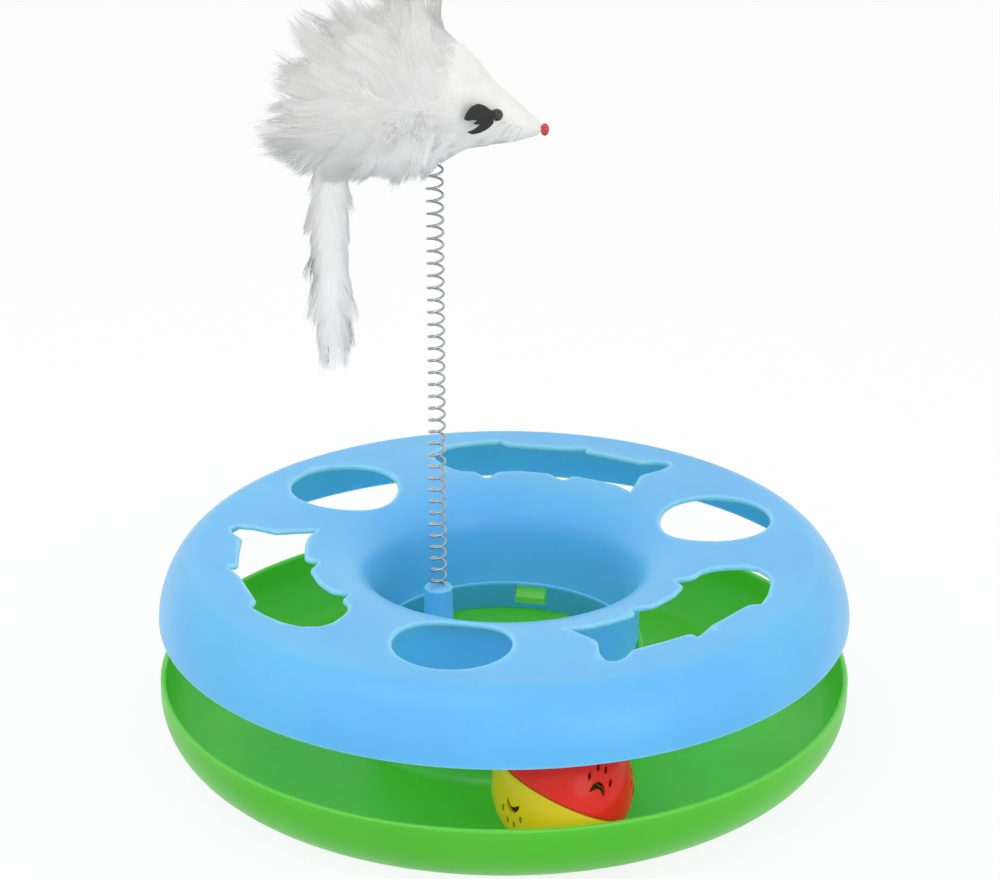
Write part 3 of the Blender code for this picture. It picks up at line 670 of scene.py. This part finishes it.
def evenly(points, count):
    """The same line through count points, each as far along it from the last."""
    lengths = [0.0]
    for a, b in zip(points, points[1:]):
        lengths.append(lengths[-1] + math.dist(a, b))
    wanted = [lengths[-1] * i / (count - 1) for i in range(count)]
    columns = [np.interp(wanted, lengths, [point[k] for point in points]) for k in range(2)]
    return list(zip(*columns))


def dome_points(count):
    """The top surface from the throat over the ridge to the widest ring."""
    points = [throat_point(i / DOME_SAMPLES) for i in range(DOME_SAMPLES + 1)]
    points += [brow_point(i / DOME_SAMPLES) for i in range(1, DOME_SAMPLES + 1)]
    return evenly(points, count)


DOME = dome_points(DOME_HEIGHTS)


def dome_height(radius):
    """Height of the cover's top surface at a radius."""
    for (r0, z0), (r1, z1) in zip(DOME, DOME[1:]):
        if r0 <= radius <= r1 and r1 > r0:
            return z0 + (z1 - z0) * (radius - r0) / (r1 - r0)
    return DOME[-1][1]


def moved_inwards(points, distance):
    """A line beside a line of (radius, z) points, to the right of its way."""
    moved = []
    for i, (radius, z) in enumerate(points):
        before = points[max(i - 1, 0)]
        after = points[min(i + 1, len(points) - 1)]
        along = Vector((after[0] - before[0], after[1] - before[1])).normalized()
        moved.append((radius + along.y * distance, z - along.x * distance))
    return moved


def cover_section():
    """The wall's section, with a small ledge over the tube and a rounded lip at the rim."""
    tube_outer, step = TUBE_BORE + TUBE_WALL, TUBE_BORE + LEDGE_STEP
    shown = dome_points(DOME_POINTS)
    hidden = [point for point in moved_inwards(shown, COVER_WALL) if point[0] > tube_outer + TUBE_JOIN]
    lip_z = COVER_LIP_Z + COVER_WALL / 2
    lip = arc((COVER_RADIUS - COVER_WALL / 2, lip_z), COVER_WALL / 2, 0.0, -180.0, 8)
    foot = arc((TUBE_BORE + TUBE_WALL / 2, TUBE_FOOT_Z + TUBE_WALL / 2), TUBE_WALL / 2, 0.0, -180.0, 6)
    ledge = [
        (TUBE_BORE, LEDGE_Z - LEDGE_CRISP), (TUBE_BORE + LEDGE_CRISP, LEDGE_Z), (step - LEDGE_CRISP, LEDGE_Z),
        (step, LEDGE_Z + LEDGE_CRISP), (step, LEDGE_Z + 3 * LEDGE_CRISP),
    ]
    return foot + ledge + shown + lip + hidden[::-1] + [(tube_outer, hidden[0][1] - TUBE_JOIN)]


def round_outline(azimuth):
    circle = arc(polar(ROUND_CENTRE_RADIUS, azimuth), ROUND_RADIUS, 0.0, 360.0, ROUND_STEPS)
    return [Vector(point) for point in circle[:-1]]


def fish_outline(azimuth):
    """The fish with its corners softened."""
    corners = [polar(radius, azimuth + degrees) for degrees, radius in FISH_OUTLINE]
    return rounded_loop(corners, FISH_STEP, FISH_FILLET)


def cutouts():
    outlines = []
    for i in range(CUTOUT_COUNT):
        turn = 360.0 * i / CUTOUT_COUNT
        outlines += [round_outline(ROUND_AZIMUTH + turn), fish_outline(FISH_AZIMUTH + turn)]
    return outlines


def edge_bead(outline):
    """The rolled edge of a cutout, a round bead on the middle of the wall."""
    line = []
    reach = 0.0005
    for point in outline:
        radius = point.length
        slope = (dome_height(radius + reach) - dome_height(radius - reach)) / (2 * reach)
        drop = BEAD_DEPTH * math.sqrt(1.0 + slope * slope)
        line.append(Vector((point.x, point.y, dome_height(radius) - drop)))
    return line


def make_cover():
    cover = add_piece("cover", turned(cover_section(), COVER_SIDES), BLUE_PLASTIC, None)
    cutter_mesh = bmesh.new()
    for outline in cutouts():
        prism(cutter_mesh, outline, COVER_LIP_Z + CUTTER_LIFT, RIDGE_Z + CUTTER_LIFT)
    for i in range(HOOK_COUNT):
        add_window(cutter_mesh, HOOK_AZIMUTH + 360.0 * i / HOOK_COUNT)
    cutter = add_piece("cover_cutter", cutter_mesh, BLUE_PLASTIC, None)
    cut_away(cover, cutter)
    shade_by_angle(cover.data, CREASE)
    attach(cover, "base_body")
    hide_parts("top_cover")
    beads = bmesh.new()
    for outline in cutouts():
        tube(beads, edge_bead(outline), EDGE_BEAD, BEAD_SIDES, closed=True)
    add_piece("cover_edges", beads, BLUE_PLASTIC, "base_body", crease=SOFT_CREASE)


def add_window(bm, azimuth):
    """Cutter for the window that a snap hook reaches through."""
    half = HOOK_WIDTH / 2 + WINDOW_MARGIN
    turn = Matrix.Rotation(math.radians(azimuth), 3, "Z")
    flat = ((WINDOW_FROM, -half), (WINDOW_TO, -half), (WINDOW_TO, half), (WINDOW_FROM, half))
    corners = [turn @ Vector((x, y, 0.0)) for x, y in flat]
    prism(bm, [(c.x, c.y) for c in corners], HOOK_UNDER_Z - WINDOW_MARGIN, HOOK_TOP_Z + WINDOW_MARGIN)


def make_post():
    """The post that the spring stands on, on a plate across the tube's foot."""
    foot_z = PLATE_FOOT_Z + PLATE_THICKNESS
    neck = (POST_RADIUS + POST_NECK, foot_z + POST_FLARE)
    points = [(0.0, foot_z), (POST_RADIUS + POST_FLARE, foot_z), neck]
    points += arc((POST_RADIUS - POST_FILLET, POST_TOP_Z - POST_FILLET), POST_FILLET, 0.0, 90.0, 6)
    points += [(SPRING_RADIUS, POST_TOP_Z), (0.0, POST_TOP_Z)]
    bm = turned(points, POST_SIDES)
    bmesh.ops.translate(bm, verts=bm.verts[:], vec=(POST_X, 0.0, 0.0))
    add_piece("spring_post", bm, BLUE_PLASTIC, "base_body")
    radius = TUBE_BORE + TUBE_WALL / 2
    half = math.degrees(math.acos(-PLATE_EDGE_X / radius))
    plate = bmesh.new()
    outline = [polar(radius, 180.0 - half + 2 * half * i / PLATE_STEPS) for i in range(PLATE_STEPS + 1)]
    prism(plate, outline, PLATE_FOOT_Z, foot_z)
    middle_z = PLATE_FOOT_Z + PLATE_THICKNESS / 2
    top_edges = [e for e in plate.edges if all(v.co.z > middle_z for v in e.verts)]
    bmesh.ops.bevel(plate, geom=top_edges, offset=PLATE_BEVEL, segments=3, profile=0.5, affect="EDGES")
    add_piece("post_plate", plate, BLUE_PLASTIC, "base_body")


# Spring

def make_spring():
    """One wire in two lengths that join at the middle of the lean between its two pivots."""
    pivots = [j["pos_m"][2] for j in frame["joints"] if j["name"] in ("sway_fore_aft", "sway_sideways")]
    split_z = sum(pivots) / 2
    foot, head = SPRING_FOOT_Z - SPRING_SUNK, SPRING_HEAD_Z + SPRING_PLUGGED
    pitch = (SPRING_HEAD_Z - SPRING_FOOT_Z) / SPRING_TURNS
    line = []
    for i in range(round((head - foot) / pitch * SPRING_STEPS) + 1):
        angle = math.tau * i / SPRING_STEPS
        z = foot + pitch * i / SPRING_STEPS
        line.append(Vector((POST_X + SPRING_RADIUS * math.cos(angle), SPRING_RADIUS * math.sin(angle), z)))
    split = min(range(len(line)), key=lambda i: abs(line[i].z - split_z))
    lengths = (
        ("spring_lower", line[: split + 1], "base_body", "spring_body", SPRING_FOOT_Z, split_z),
        ("spring_upper", line[split:], "spring_body", "seat_body", split_z, 2 * max(pivots) - split_z),
    )
    for name, points, first, second, start, end in lengths:
        bm = bmesh.new()
        tube(bm, points, WIRE_RADIUS, WIRE_SIDES)
        piece = add_piece(name, bm, WIRE, None, crease=SOFT_CREASE)
        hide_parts("spring")
        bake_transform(piece)


# Mouse

def section_at(x):
    """Middle height, half width and half height of the mouse's skin at x."""
    rows = MOUSE_SECTIONS
    i = 0
    while i < len(rows) - 2 and x > rows[i + 1][0]:
        i += 1
    before, left, right, after = rows[max(i - 1, 0)], rows[i], rows[i + 1], rows[min(i + 2, len(rows) - 1)]
    width = right[0] - left[0]
    t = min(max((x - left[0]) / width, 0.0), 1.0)
    values = []
    for k in range(1, 4):
        rise_in = (right[k] - before[k]) / (right[0] - before[0]) * width
        rise_out = (after[k] - left[k]) / (after[0] - left[0]) * width
        value = (2 * t ** 3 - 3 * t ** 2 + 1) * left[k] + (t ** 3 - 2 * t ** 2 + t) * rise_in
        value += (3 * t ** 2 - 2 * t ** 3) * right[k] + (t ** 3 - t ** 2) * rise_out
        values.append(value)
    return values


def skin_point(x, angle):
    middle, half_width, half_height = section_at(x)
    return Vector((POST_X + x, half_width * math.cos(angle), middle + half_height * math.sin(angle)))


def skin_normal(x, angle):
    step, turn = 0.0004, 0.02
    low, high = max(x - step, MOUSE_SECTIONS[0][0]), min(x + step, MOUSE_SECTIONS[-1][0])
    along = skin_point(high, angle) - skin_point(low, angle)
    around = skin_point(x, angle + turn) - skin_point(x, angle - turn)
    return around.cross(along).normalized()


def lofted(rings):
    """A closed skin over a row of rings with the same number of points."""
    bm = bmesh.new()
    rows = [[bm.verts.new(point) for point in ring] for ring in rings]
    for first, second in zip(rows, rows[1:]):
        band(bm, first, second)
    bm.faces.new(rows[0][::-1])
    bm.faces.new(rows[-1])
    return bm


def make_mouse_skin():
    start, end = MOUSE_SECTIONS[0][0], MOUSE_SECTIONS[-1][0]
    rings = []
    for i in range(SKIN_RINGS + 1):
        share = 0.5 - 0.5 * math.cos(math.pi * i / SKIN_RINGS)
        x = start + (end - start) * share
        rings.append([skin_point(x, math.tau * k / SKIN_SIDES) for k in range(SKIN_SIDES)])
    solids = ["mouse_body", "mouse_head"]
    skin = add_piece("mouse_skin", lofted(rings), FUR_SKIN, "mouse_group", solids, SOFT_CREASE)


def strands_mesh(name, lines, widths, outwards, material, body):
    """Tapering strands, given as an array of (strand, point, xyz).

    Their normals lean outwards from the skin, so that the coat is lit as one soft surface.
    """
    count, points, _ = lines.shape
    along = np.gradient(lines, axis=1)
    along /= np.maximum(np.linalg.norm(along, axis=2, keepdims=True), 1e-9)
    aslant = np.array([0.31, 0.87, 0.39])
    side = np.cross(along, aslant)
    side /= np.maximum(np.linalg.norm(side, axis=2, keepdims=True), 1e-9)
    other = np.cross(along, side)
    taper = (1.0 - np.linspace(0.0, 1.0, points) ** 1.6 * 0.85)[None, :, None]
    radius = widths[:, None, None] * taper
    corners, normals = [], []
    for k in range(HAIR_SIDES):
        angle = math.tau * k / HAIR_SIDES
        across = side * math.cos(angle) + other * math.sin(angle)
        corners.append(lines + across * radius)
        normals.append(across * (1.0 - COAT_SHARE) + outwards[:, None, :] * COAT_SHARE)
    verts = np.stack(corners, axis=2).reshape(-1, 3)
    normals = np.stack(normals, axis=2).reshape(-1, 3)
    normals /= np.linalg.norm(normals, axis=1, keepdims=True)
    strand = (np.arange(count) * points * HAIR_SIDES)[:, None, None]
    low = strand + (np.arange(points - 1) * HAIR_SIDES)[None, :, None]
    high = low + HAIR_SIDES
    here = np.arange(HAIR_SIDES)[None, None, :]
    there = (here + 1) % HAIR_SIDES
    quads = np.stack([low + here, low + there, high + there, high + here], axis=-1).reshape(-1, 4)
    mesh = bpy.data.meshes.new(name)
    mesh.vertices.add(len(verts))
    mesh.vertices.foreach_set("co", verts.astype(np.float32).ravel())
    mesh.loops.add(quads.size)
    mesh.loops.foreach_set("vertex_index", quads.astype(np.int32).ravel())
    mesh.polygons.add(len(quads))
    mesh.polygons.foreach_set("loop_start", np.arange(0, quads.size, 4, dtype=np.int32))
    mesh.update(calc_edges=True)
    mesh.shade_smooth()
    mesh.normals_split_custom_set_from_vertices(normals)
    mesh.materials.append(material)
    made = new_object(name, mesh)
    # White hair hardly darkens itself, so the coat is left out of soft bounced light
    made.visible_diffuse = False
    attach(made, body)
    return made


def nearest_of(places, leaders):
    """For each place, the number of the nearest leader in the list of leaders."""
    tree = KDTree(len(leaders))
    for number, leader in enumerate(leaders):
        tree.insert(places[leader], number)
    tree.balance()
    return np.array([tree.find(place)[1] for place in places])


def hair_lines(roots, rise, lay, lengths, stray, chance):
    """Hairs that rise from the skin, bend to their lay and draw together into pointed tufts.

    There are large tufts with small ones in them, and each large one has its own turn and length.
    """
    count = len(roots)
    large = chance.choice(count, max(2, int(count * TUFT_SHARE)), replace=False)
    small = chance.choice(count, max(2, int(count * LOCK_SHARE)), replace=False)
    in_large, in_small = nearest_of(roots, large), nearest_of(roots, small)
    turn = chance.normal(0.0, 1.0, (len(large), 3))[in_large] * stray[:, None]
    grown = lengths * chance.uniform(0.72, 1.18, len(large))[in_large]
    steps = np.linspace(0.0, 1.0, HAIR_POINTS)[None, :, None]
    bend = rise[:, None, :] * (steps - steps ** 2 / 2) + (lay + turn)[:, None, :] * steps ** 2 / 2
    bend = bend + turn[:, None, :] * steps * 0.4
    lines = roots[:, None, :] + bend * grown[:, None, None]
    for leaders, member, tight in ((small, in_small, LOCK_PULL), (large, in_large, TUFT_PULL)):
        pull = tight * steps ** 1.5 * chance.uniform(0.4, 1.0, count)[:, None, None]
        lines = lines * (1.0 - pull) + lines[leaders[member]] * pull
    return lines


def smooth_share(value):
    value = min(1.0, max(0.0, value))
    return value * value * (3.0 - 2.0 * value)


def body_hair_at(along, angle):
    """Root, first direction, lay, length, stray and outward direction of a hair at a place on the skin.

    Long hair spreads from the whorl on the flank, and the short hair of the head lies backwards.
    """
    root, normal = skin_point(along, angle), skin_normal(along, angle)
    long = smooth_share((LONG_HAIR_FROM - along) / LONG_HAIR_FADE)
    back = Vector((-1.0, 0.0, 0.0))
    whorl = Vector((min(0.0, root.x - POST_X - WHORL_ALONG), 0.0, root.z - WHORL_Z))
    whorl = whorl / max(whorl.length, 0.010)
    lay = (whorl * 0.85 + back * 0.30 + normal * 0.30) * long + (back + normal * 0.12) * (1.0 - long)
    rise = (normal * 0.75 + whorl * 0.35) * long + (normal * 0.45 + back * 0.6) * (1.0 - long)
    up, down = max(0.0, whorl.z), max(0.0, -whorl.z)
    length = SHORT_HAIR + long * (LONG_HAIR * (1.0 + 0.25 * up - 0.55 * down) - SHORT_HAIR)
    return root - normal * HAIR_SUNK, rise.normalized(), lay.normalized(), length, 0.03 + 0.20 * long, normal


def below_top(lines):
    """Hairs that would stand above the coat's top are trimmed to it."""
    root = lines[:, :1, 2]
    reach = np.maximum(lines[:, :, 2].max(axis=1, keepdims=True) - root, 1e-6)
    share = np.clip((FUR_TOP - root) / reach, 0.2, 1.0)
    return lines[:, :1] + (lines - lines[:, :1]) * share[:, :, None]


def body_fur():
    """Long silky hair that spreads from the flank, and short plush on the head."""
    chance = np.random.default_rng(SEED)
    start, end = MOUSE_SECTIONS[0][0], MOUSE_SECTIONS[-1][0]
    columns = [[], [], [], [], [], []]
    while len(columns[0]) < BODY_HAIRS:
        along = chance.uniform(start, end)
        angle = chance.uniform(0.0, math.tau)
        _, half_width, half_height = section_at(along)
        if chance.random() > (half_width + half_height) / FULL_GIRTH:
            continue
        for column, value in zip(columns, body_hair_at(along, angle)):
            column.append(value)
    roots, rise, lay, lengths, stray, outwards = (np.array(column) for column in columns)
    rise = rise + chance.normal(0.0, 0.10, rise.shape)
    lengths = lengths * chance.uniform(0.62, 1.16, len(lengths))
    lines = below_top(hair_lines(roots, rise, lay, lengths, stray, chance))
    widths = HAIR_RADIUS * (0.75 + 0.25 * lengths / LONG_HAIR)
    strands_mesh("mouse_fur", lines, widths, outwards, FUR_HAIR, "mouse_group")


def make_tail_skin():
    """The flat strip under the tail's hair, rounded at both ends."""
    rings = []
    for i in range(TAIL_RINGS + 1):
        share = i / TAIL_RINGS
        narrow = math.sqrt(max(0.02, 1.0 - (2.0 * share - 1.0) ** 10))
        radius = (TAIL_STRIP_WIDTH / 2 - TAIL_NARROWS * share) * narrow
        centre = TAIL_ROOT + Vector((0.0, 0.0, TAIL_TOP - (TAIL_TOP + TAIL_STRIP_LENGTH) * share))
        ring = []
        for k in range(TAIL_SIDES):
            angle = math.tau * k / TAIL_SIDES
            x, y = radius * math.cos(angle), radius * TAIL_FLATNESS * math.sin(angle)
            ring.append(centre + Vector((x, y, 0.0)))
        rings.append(ring)
    bm = lofted(rings)
    skin = add_piece("tail_skin", bm, FUR_SKIN, "tail_body", ["mouse_tail"], SOFT_CREASE)


def tail_fur():
    """Hair combed down the strip to a ragged end, with a few tufts that stand away."""
    chance = np.random.default_rng(SEED + 1)
    shares = chance.uniform(0.0, 1.0, TAIL_HAIRS)
    angles = chance.uniform(0.0, math.tau, TAIL_HAIRS)
    radial = np.stack([np.cos(angles), np.sin(angles), np.zeros(TAIL_HAIRS)], axis=1)
    half = TAIL_STRIP_WIDTH / 2 - TAIL_NARROWS * shares
    roots = np.array(TAIL_ROOT)[None, :] + radial * half[:, None] * np.array(TAIL_ROOTS)[None, :]
    roots[:, 2] += TAIL_TOP - (TAIL_TOP + TAIL_STRIP_LENGTH) * shares
    down = np.array([0.0, 0.0, -1.0])[None, :]
    rise = radial * 0.40 + down + chance.normal(0.0, 0.08, (TAIL_HAIRS, 3))
    lay = radial * 0.12 + down
    lengths = TAIL_HAIR * chance.uniform(0.75, 1.15, TAIL_HAIRS)
    stray = np.full(TAIL_HAIRS, 0.17)
    lines = hair_lines(roots, rise, lay, lengths, stray, chance)
    strands_mesh("tail_fur", lines, np.full(TAIL_HAIRS, HAIR_RADIUS), radial, FUR_HAIR, "tail_body")


def make_whiskers():
    """A few stiff dark threads on each side of the snout."""
    bm = bmesh.new()
    for side in (-1.0, 1.0):
        for along, tilt, length in WHISKERS:
            middle, half_width, _ = section_at(along)
            root = Vector((POST_X + along, side * half_width * 0.95, middle))
            way = Vector((-0.35, side * 0.75, tilt)).normalized()
            points = []
            for i in range(7):
                share = i / 6
                points.append(root + way * length * share - Vector((0.0, 0.0, WHISKER_DROOP)) * share ** 2)
            tube(bm, points, WHISKER_RADIUS, 5)
    add_piece("whiskers", bm, WHISKER, "mouse_group", crease=SOFT_CREASE)


def make_bead(name, node, radius, material, shape=(1.0, 1.0, 1.0), back=0.0, drop=0.0):
    """A bead in the place of a CAD node, moved back and down by a little."""
    low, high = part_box(node)
    centre = (low + high) / 2
    bm = bmesh.new()
    bmesh.ops.create_uvsphere(bm, u_segments=32, v_segments=20, radius=radius)
    bmesh.ops.scale(bm, vec=shape, verts=bm.verts[:])
    bmesh.ops.translate(bm, verts=bm.verts[:], vec=(centre.x - back, centre.y, centre.z - drop))
    add_piece(name, bm, material, "mouse_group", [node], SOFT_CREASE)


# Three lobes of a felt ear, in shares of its length and height, with the stem at 0
EAR_LOBES = (
    ((0.0, 0.12), (0.20, 0.22), (0.38, 0.40), (0.58, 0.50), (0.80, 0.40), (0.93, 0.20), (1.0, 0.0),
     (0.90, -0.04), (0.75, -0.02), (0.50, -0.14), (0.30, -0.22), (0.14, -0.14), (0.0, -0.06)),
    ((0.12, -0.08), (0.40, -0.06), (0.62, -0.10), (0.76, -0.16), (0.62, -0.20), (0.40, -0.27), (0.18, -0.22)),
    ((0.10, -0.12), (0.32, -0.16), (0.56, -0.24), (0.74, -0.36), (0.94, -0.42), (0.82, -0.50),
     (0.56, -0.48), (0.30, -0.38), (0.14, -0.26)),
)


def make_ear(side, label):
    low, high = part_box(f"ear_{label}")
    stem = Vector((high.x, low.y if side > 0 else high.y, (low.z + high.z) / 2))
    tip = Vector((low.x, high.y if side > 0 else low.y, stem.z))
    back = tip - stem
    length = back.length
    back.normalize()
    outwards = Vector((-back.y * -side, back.x * -side, 0.0))
    if outwards.y * side < 0:
        outwards = -outwards
    height = high.z - low.z
    bm = bmesh.new()
    for lobe, lift in zip(EAR_LOBES, EAR_LIFTS):
        loop = rounded_loop([(a * length, b * height) for a, b in lobe], EAR_STEP, EAR_FILLET)
        layers = []
        for depth in (0.0, EAR_THICKNESS):
            layer = []
            for along, up in loop:
                cup = lift + depth + EAR_CUP * math.sin(min(1.0, along / length) * math.pi)
                layer.append(bm.verts.new(stem + back * along + Vector((0.0, 0.0, up)) + outwards * cup))
            layers.append(layer)
        bm.faces.new(layers[0])
        bm.faces.new(layers[1][::-1])
        band(bm, *layers)
    add_piece(f"ear_felt_{label}", bm, FELT, "mouse_group", [f"ear_{label}"], FELT_CREASE)


# Ball

PAW_PAD = (
    (0.0024, -0.0029), (0.0012, -0.0029), (-0.0006, -0.0023), (-0.0017, -0.0012), (-0.0020, 0.0),
    (-0.0017, 0.0012), (-0.0006, 0.0023), (0.0012, 0.0029), (0.0024, 0.0029), (0.0016, 0.0018),
    (0.0006, 0.0008), (0.0004, 0.0), (0.0006, -0.0008), (0.0016, -0.0018),
)
PAD_STEP = PAD_FILLET = 0.0003
PAW_TOES = ((-0.0027, 0.0041), (-0.0064, 0.0015), (-0.0064, -0.0015), (-0.0027, -0.0041))
TOE_LENGTH, TOE_WIDTH, TOE_STEPS = 0.0029, 0.0012, 16


def toe_outline(x, y):
    points = []
    for i in range(TOE_STEPS):
        angle = math.tau * i / TOE_STEPS
        points.append((x + TOE_LENGTH / 2 * math.cos(angle), y + TOE_WIDTH / 2 * math.sin(angle)))
    return points


def shell_section():
    """Half ball with a wall, rounded at the seam."""
    start = math.degrees((SEAM_GAP / 2 + SEAM_FILLET) / BALL_RADIUS)
    inner_radius = BALL_RADIUS - BALL_WALL
    points = arc((0.0, 0.0), BALL_RADIUS, start, 90.0, 28)
    points += arc((0.0, 0.0), inner_radius, 90.0, math.degrees(SEAM_GAP / 2 / inner_radius), 24)
    corner = SEAM_FILLET * 0.3
    points += [(BALL_RADIUS - SEAM_FILLET, SEAM_GAP / 2), (BALL_RADIUS - corner, SEAM_GAP / 2 + corner)]
    return points


def make_shell(colour, direction, material):
    """Half of the ball, with paw-print vents cut through its wall."""
    place = Matrix.Translation(BALL_CENTRE)
    place = place @ Vector((0.0, 0.0, 1.0)).rotation_difference(direction).to_matrix().to_4x4()
    shell = add_piece(f"ball_half_{colour}", turned(shell_section(), BALL_SIDES), material, None)
    vents = bmesh.new()
    reach = 2 * BALL_WALL
    for i in range(PAW_COUNT):
        turn = Matrix.Rotation(math.radians(PAW_TURNS[colour]) + math.tau * i / PAW_COUNT, 4, "Z")
        tilt = Matrix.Rotation(math.radians(PAW_FROM_POLE), 4, "Y")
        spot = turn @ tilt @ Matrix.Translation((0.0, 0.0, BALL_RADIUS - BALL_WALL / 2))
        pad = [tuple(p) for p in rounded_loop(PAW_PAD, PAD_STEP, PAD_FILLET)]
        for outline in [pad] + [toe_outline(x, y) for x, y in PAW_TOES]:
            bmesh.ops.transform(vents, matrix=spot, verts=prism(vents, outline, -reach, reach))
    cutter = add_piece(f"vent_cutter_{colour}", vents, material, None)
    cut_away(shell, cutter)
    shell.data.transform(place)
    shade_by_angle(shell.data, CREASE)
    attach(shell, "ball_body")
    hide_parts(f"ball_shell_{colour}")


# Carried-over pieces, stage, light and camera

def finish_node(name, material):
    node = frame["nodes"][name]
    node.data.materials.clear()
    node.data.materials.append(material)


def seen_directly(nodes, links):
    """1 for rays of the camera, of reflections and through clear pieces, 0 for the rest."""
    return rays_of(nodes, links, "Camera", "Glossy", "Transmission")


def backdrop_material():
    """Pale floor that is seen as white, with the toy's soft shadow kept."""
    made, nodes, links = new_material("pale_floor")
    shader = nodes["Principled BSDF"]
    set_inputs(shader, {"Base Color": (0.90, 0.90, 0.90, 1.0), "Roughness": 0.9, "Specular IOR Level": 0.1})
    white = nodes.new("ShaderNodeEmission")
    blend = nodes.new("ShaderNodeMixShader")
    seen = seen_directly(nodes, links)
    links.new(ramp(nodes, links, seen, 0.0, 1.0, 0.0, FLOOR_WHITE), blend.inputs["Fac"])
    links.new(shader.outputs[0], blend.inputs[1])
    links.new(white.outputs[0], blend.inputs[2])
    links.new(blend.outputs[0], nodes["Material Output"].inputs["Surface"])
    white.inputs["Strength"].default_value = FLOOR_GLOW
    return made


def make_stage():
    bm = bmesh.new()
    bmesh.ops.create_grid(bm, x_segments=1, y_segments=1, size=FLOOR_SIZE)
    mesh = bpy.data.meshes.new("floor")
    bm.to_mesh(mesh)
    bm.free()
    mesh.materials.append(backdrop_material())
    floor = new_object("floor", mesh)
    floor.location.z = -FLOOR_DROP


def area_light(name, place, target, size, power):
    light = bpy.data.lights.new(name, "AREA")
    light.shape = "DISK"
    light.size = size
    light.energy = power
    made = new_object(name, light)
    made.location = place
    made.rotation_mode = "QUATERNION"
    made.rotation_quaternion = (Vector(target) - Vector(place)).to_track_quat("-Z", "Y")


def make_world():
    world = bpy.data.worlds.new("studio")
    bpy.context.scene.world = world
    world.use_nodes = True
    nodes, links = world.node_tree.nodes, world.node_tree.links
    background = nodes["Background"]
    seen = seen_directly(nodes, links)
    links.new(ramp(nodes, links, seen, 0.0, 1.0, WORLD_LIGHT, 1.0), background.inputs["Strength"])
    background.inputs["Color"].default_value = (1.0, 1.0, 1.0, 1.0)


def make_camera():
    data = bpy.data.cameras.new("camera")
    data.sensor_width = SENSOR_MM
    data.lens = FOCAL_PX / FRAME_WIDTH_PX * SENSOR_MM
    camera = new_object("camera", data)
    camera.location = CAMERA_PLACE
    camera.rotation_euler = (math.radians(90.0 - CAMERA_PITCH), 0.0, 0.0)
    bpy.context.scene.camera = camera


def main():
    make_tray()
    make_cover()
    make_post()
    make_spring()
    make_mouse_skin()
    body_fur()
    make_tail_skin()
    tail_fur()
    make_whiskers()
    for side, label in ((-1.0, "left"), (1.0, "right")):
        make_bead(f"eye_bead_{label}", f"eye_{label}", EYE_RADIUS, EYE_BEAD)
        make_ear(side, label)
    make_bead("nose_bead", "mouse_nose", NOSE_RADIUS, NOSE_BEAD, NOSE_SHAPE, NOSE_BACK, NOSE_DROP)
    make_shell("red", BALL_POLE, RED_PLASTIC)
    make_shell("yellow", -BALL_POLE, YELLOW_PLASTIC)
    finish_node("spring_seat", SEAT_PLASTIC)
    finish_node("bell_upper", BELL_METAL)
    finish_node("bell_lower", BELL_METAL)
    finish_node("bell_pellet", WIRE)
    make_stage()
    make_world()
    area_light("key", *KEY_LAMP)
    area_light("fill", *FILL_LAMP)
    make_camera()
    bpy.context.scene.view_settings.view_transform = "Standard"


main()
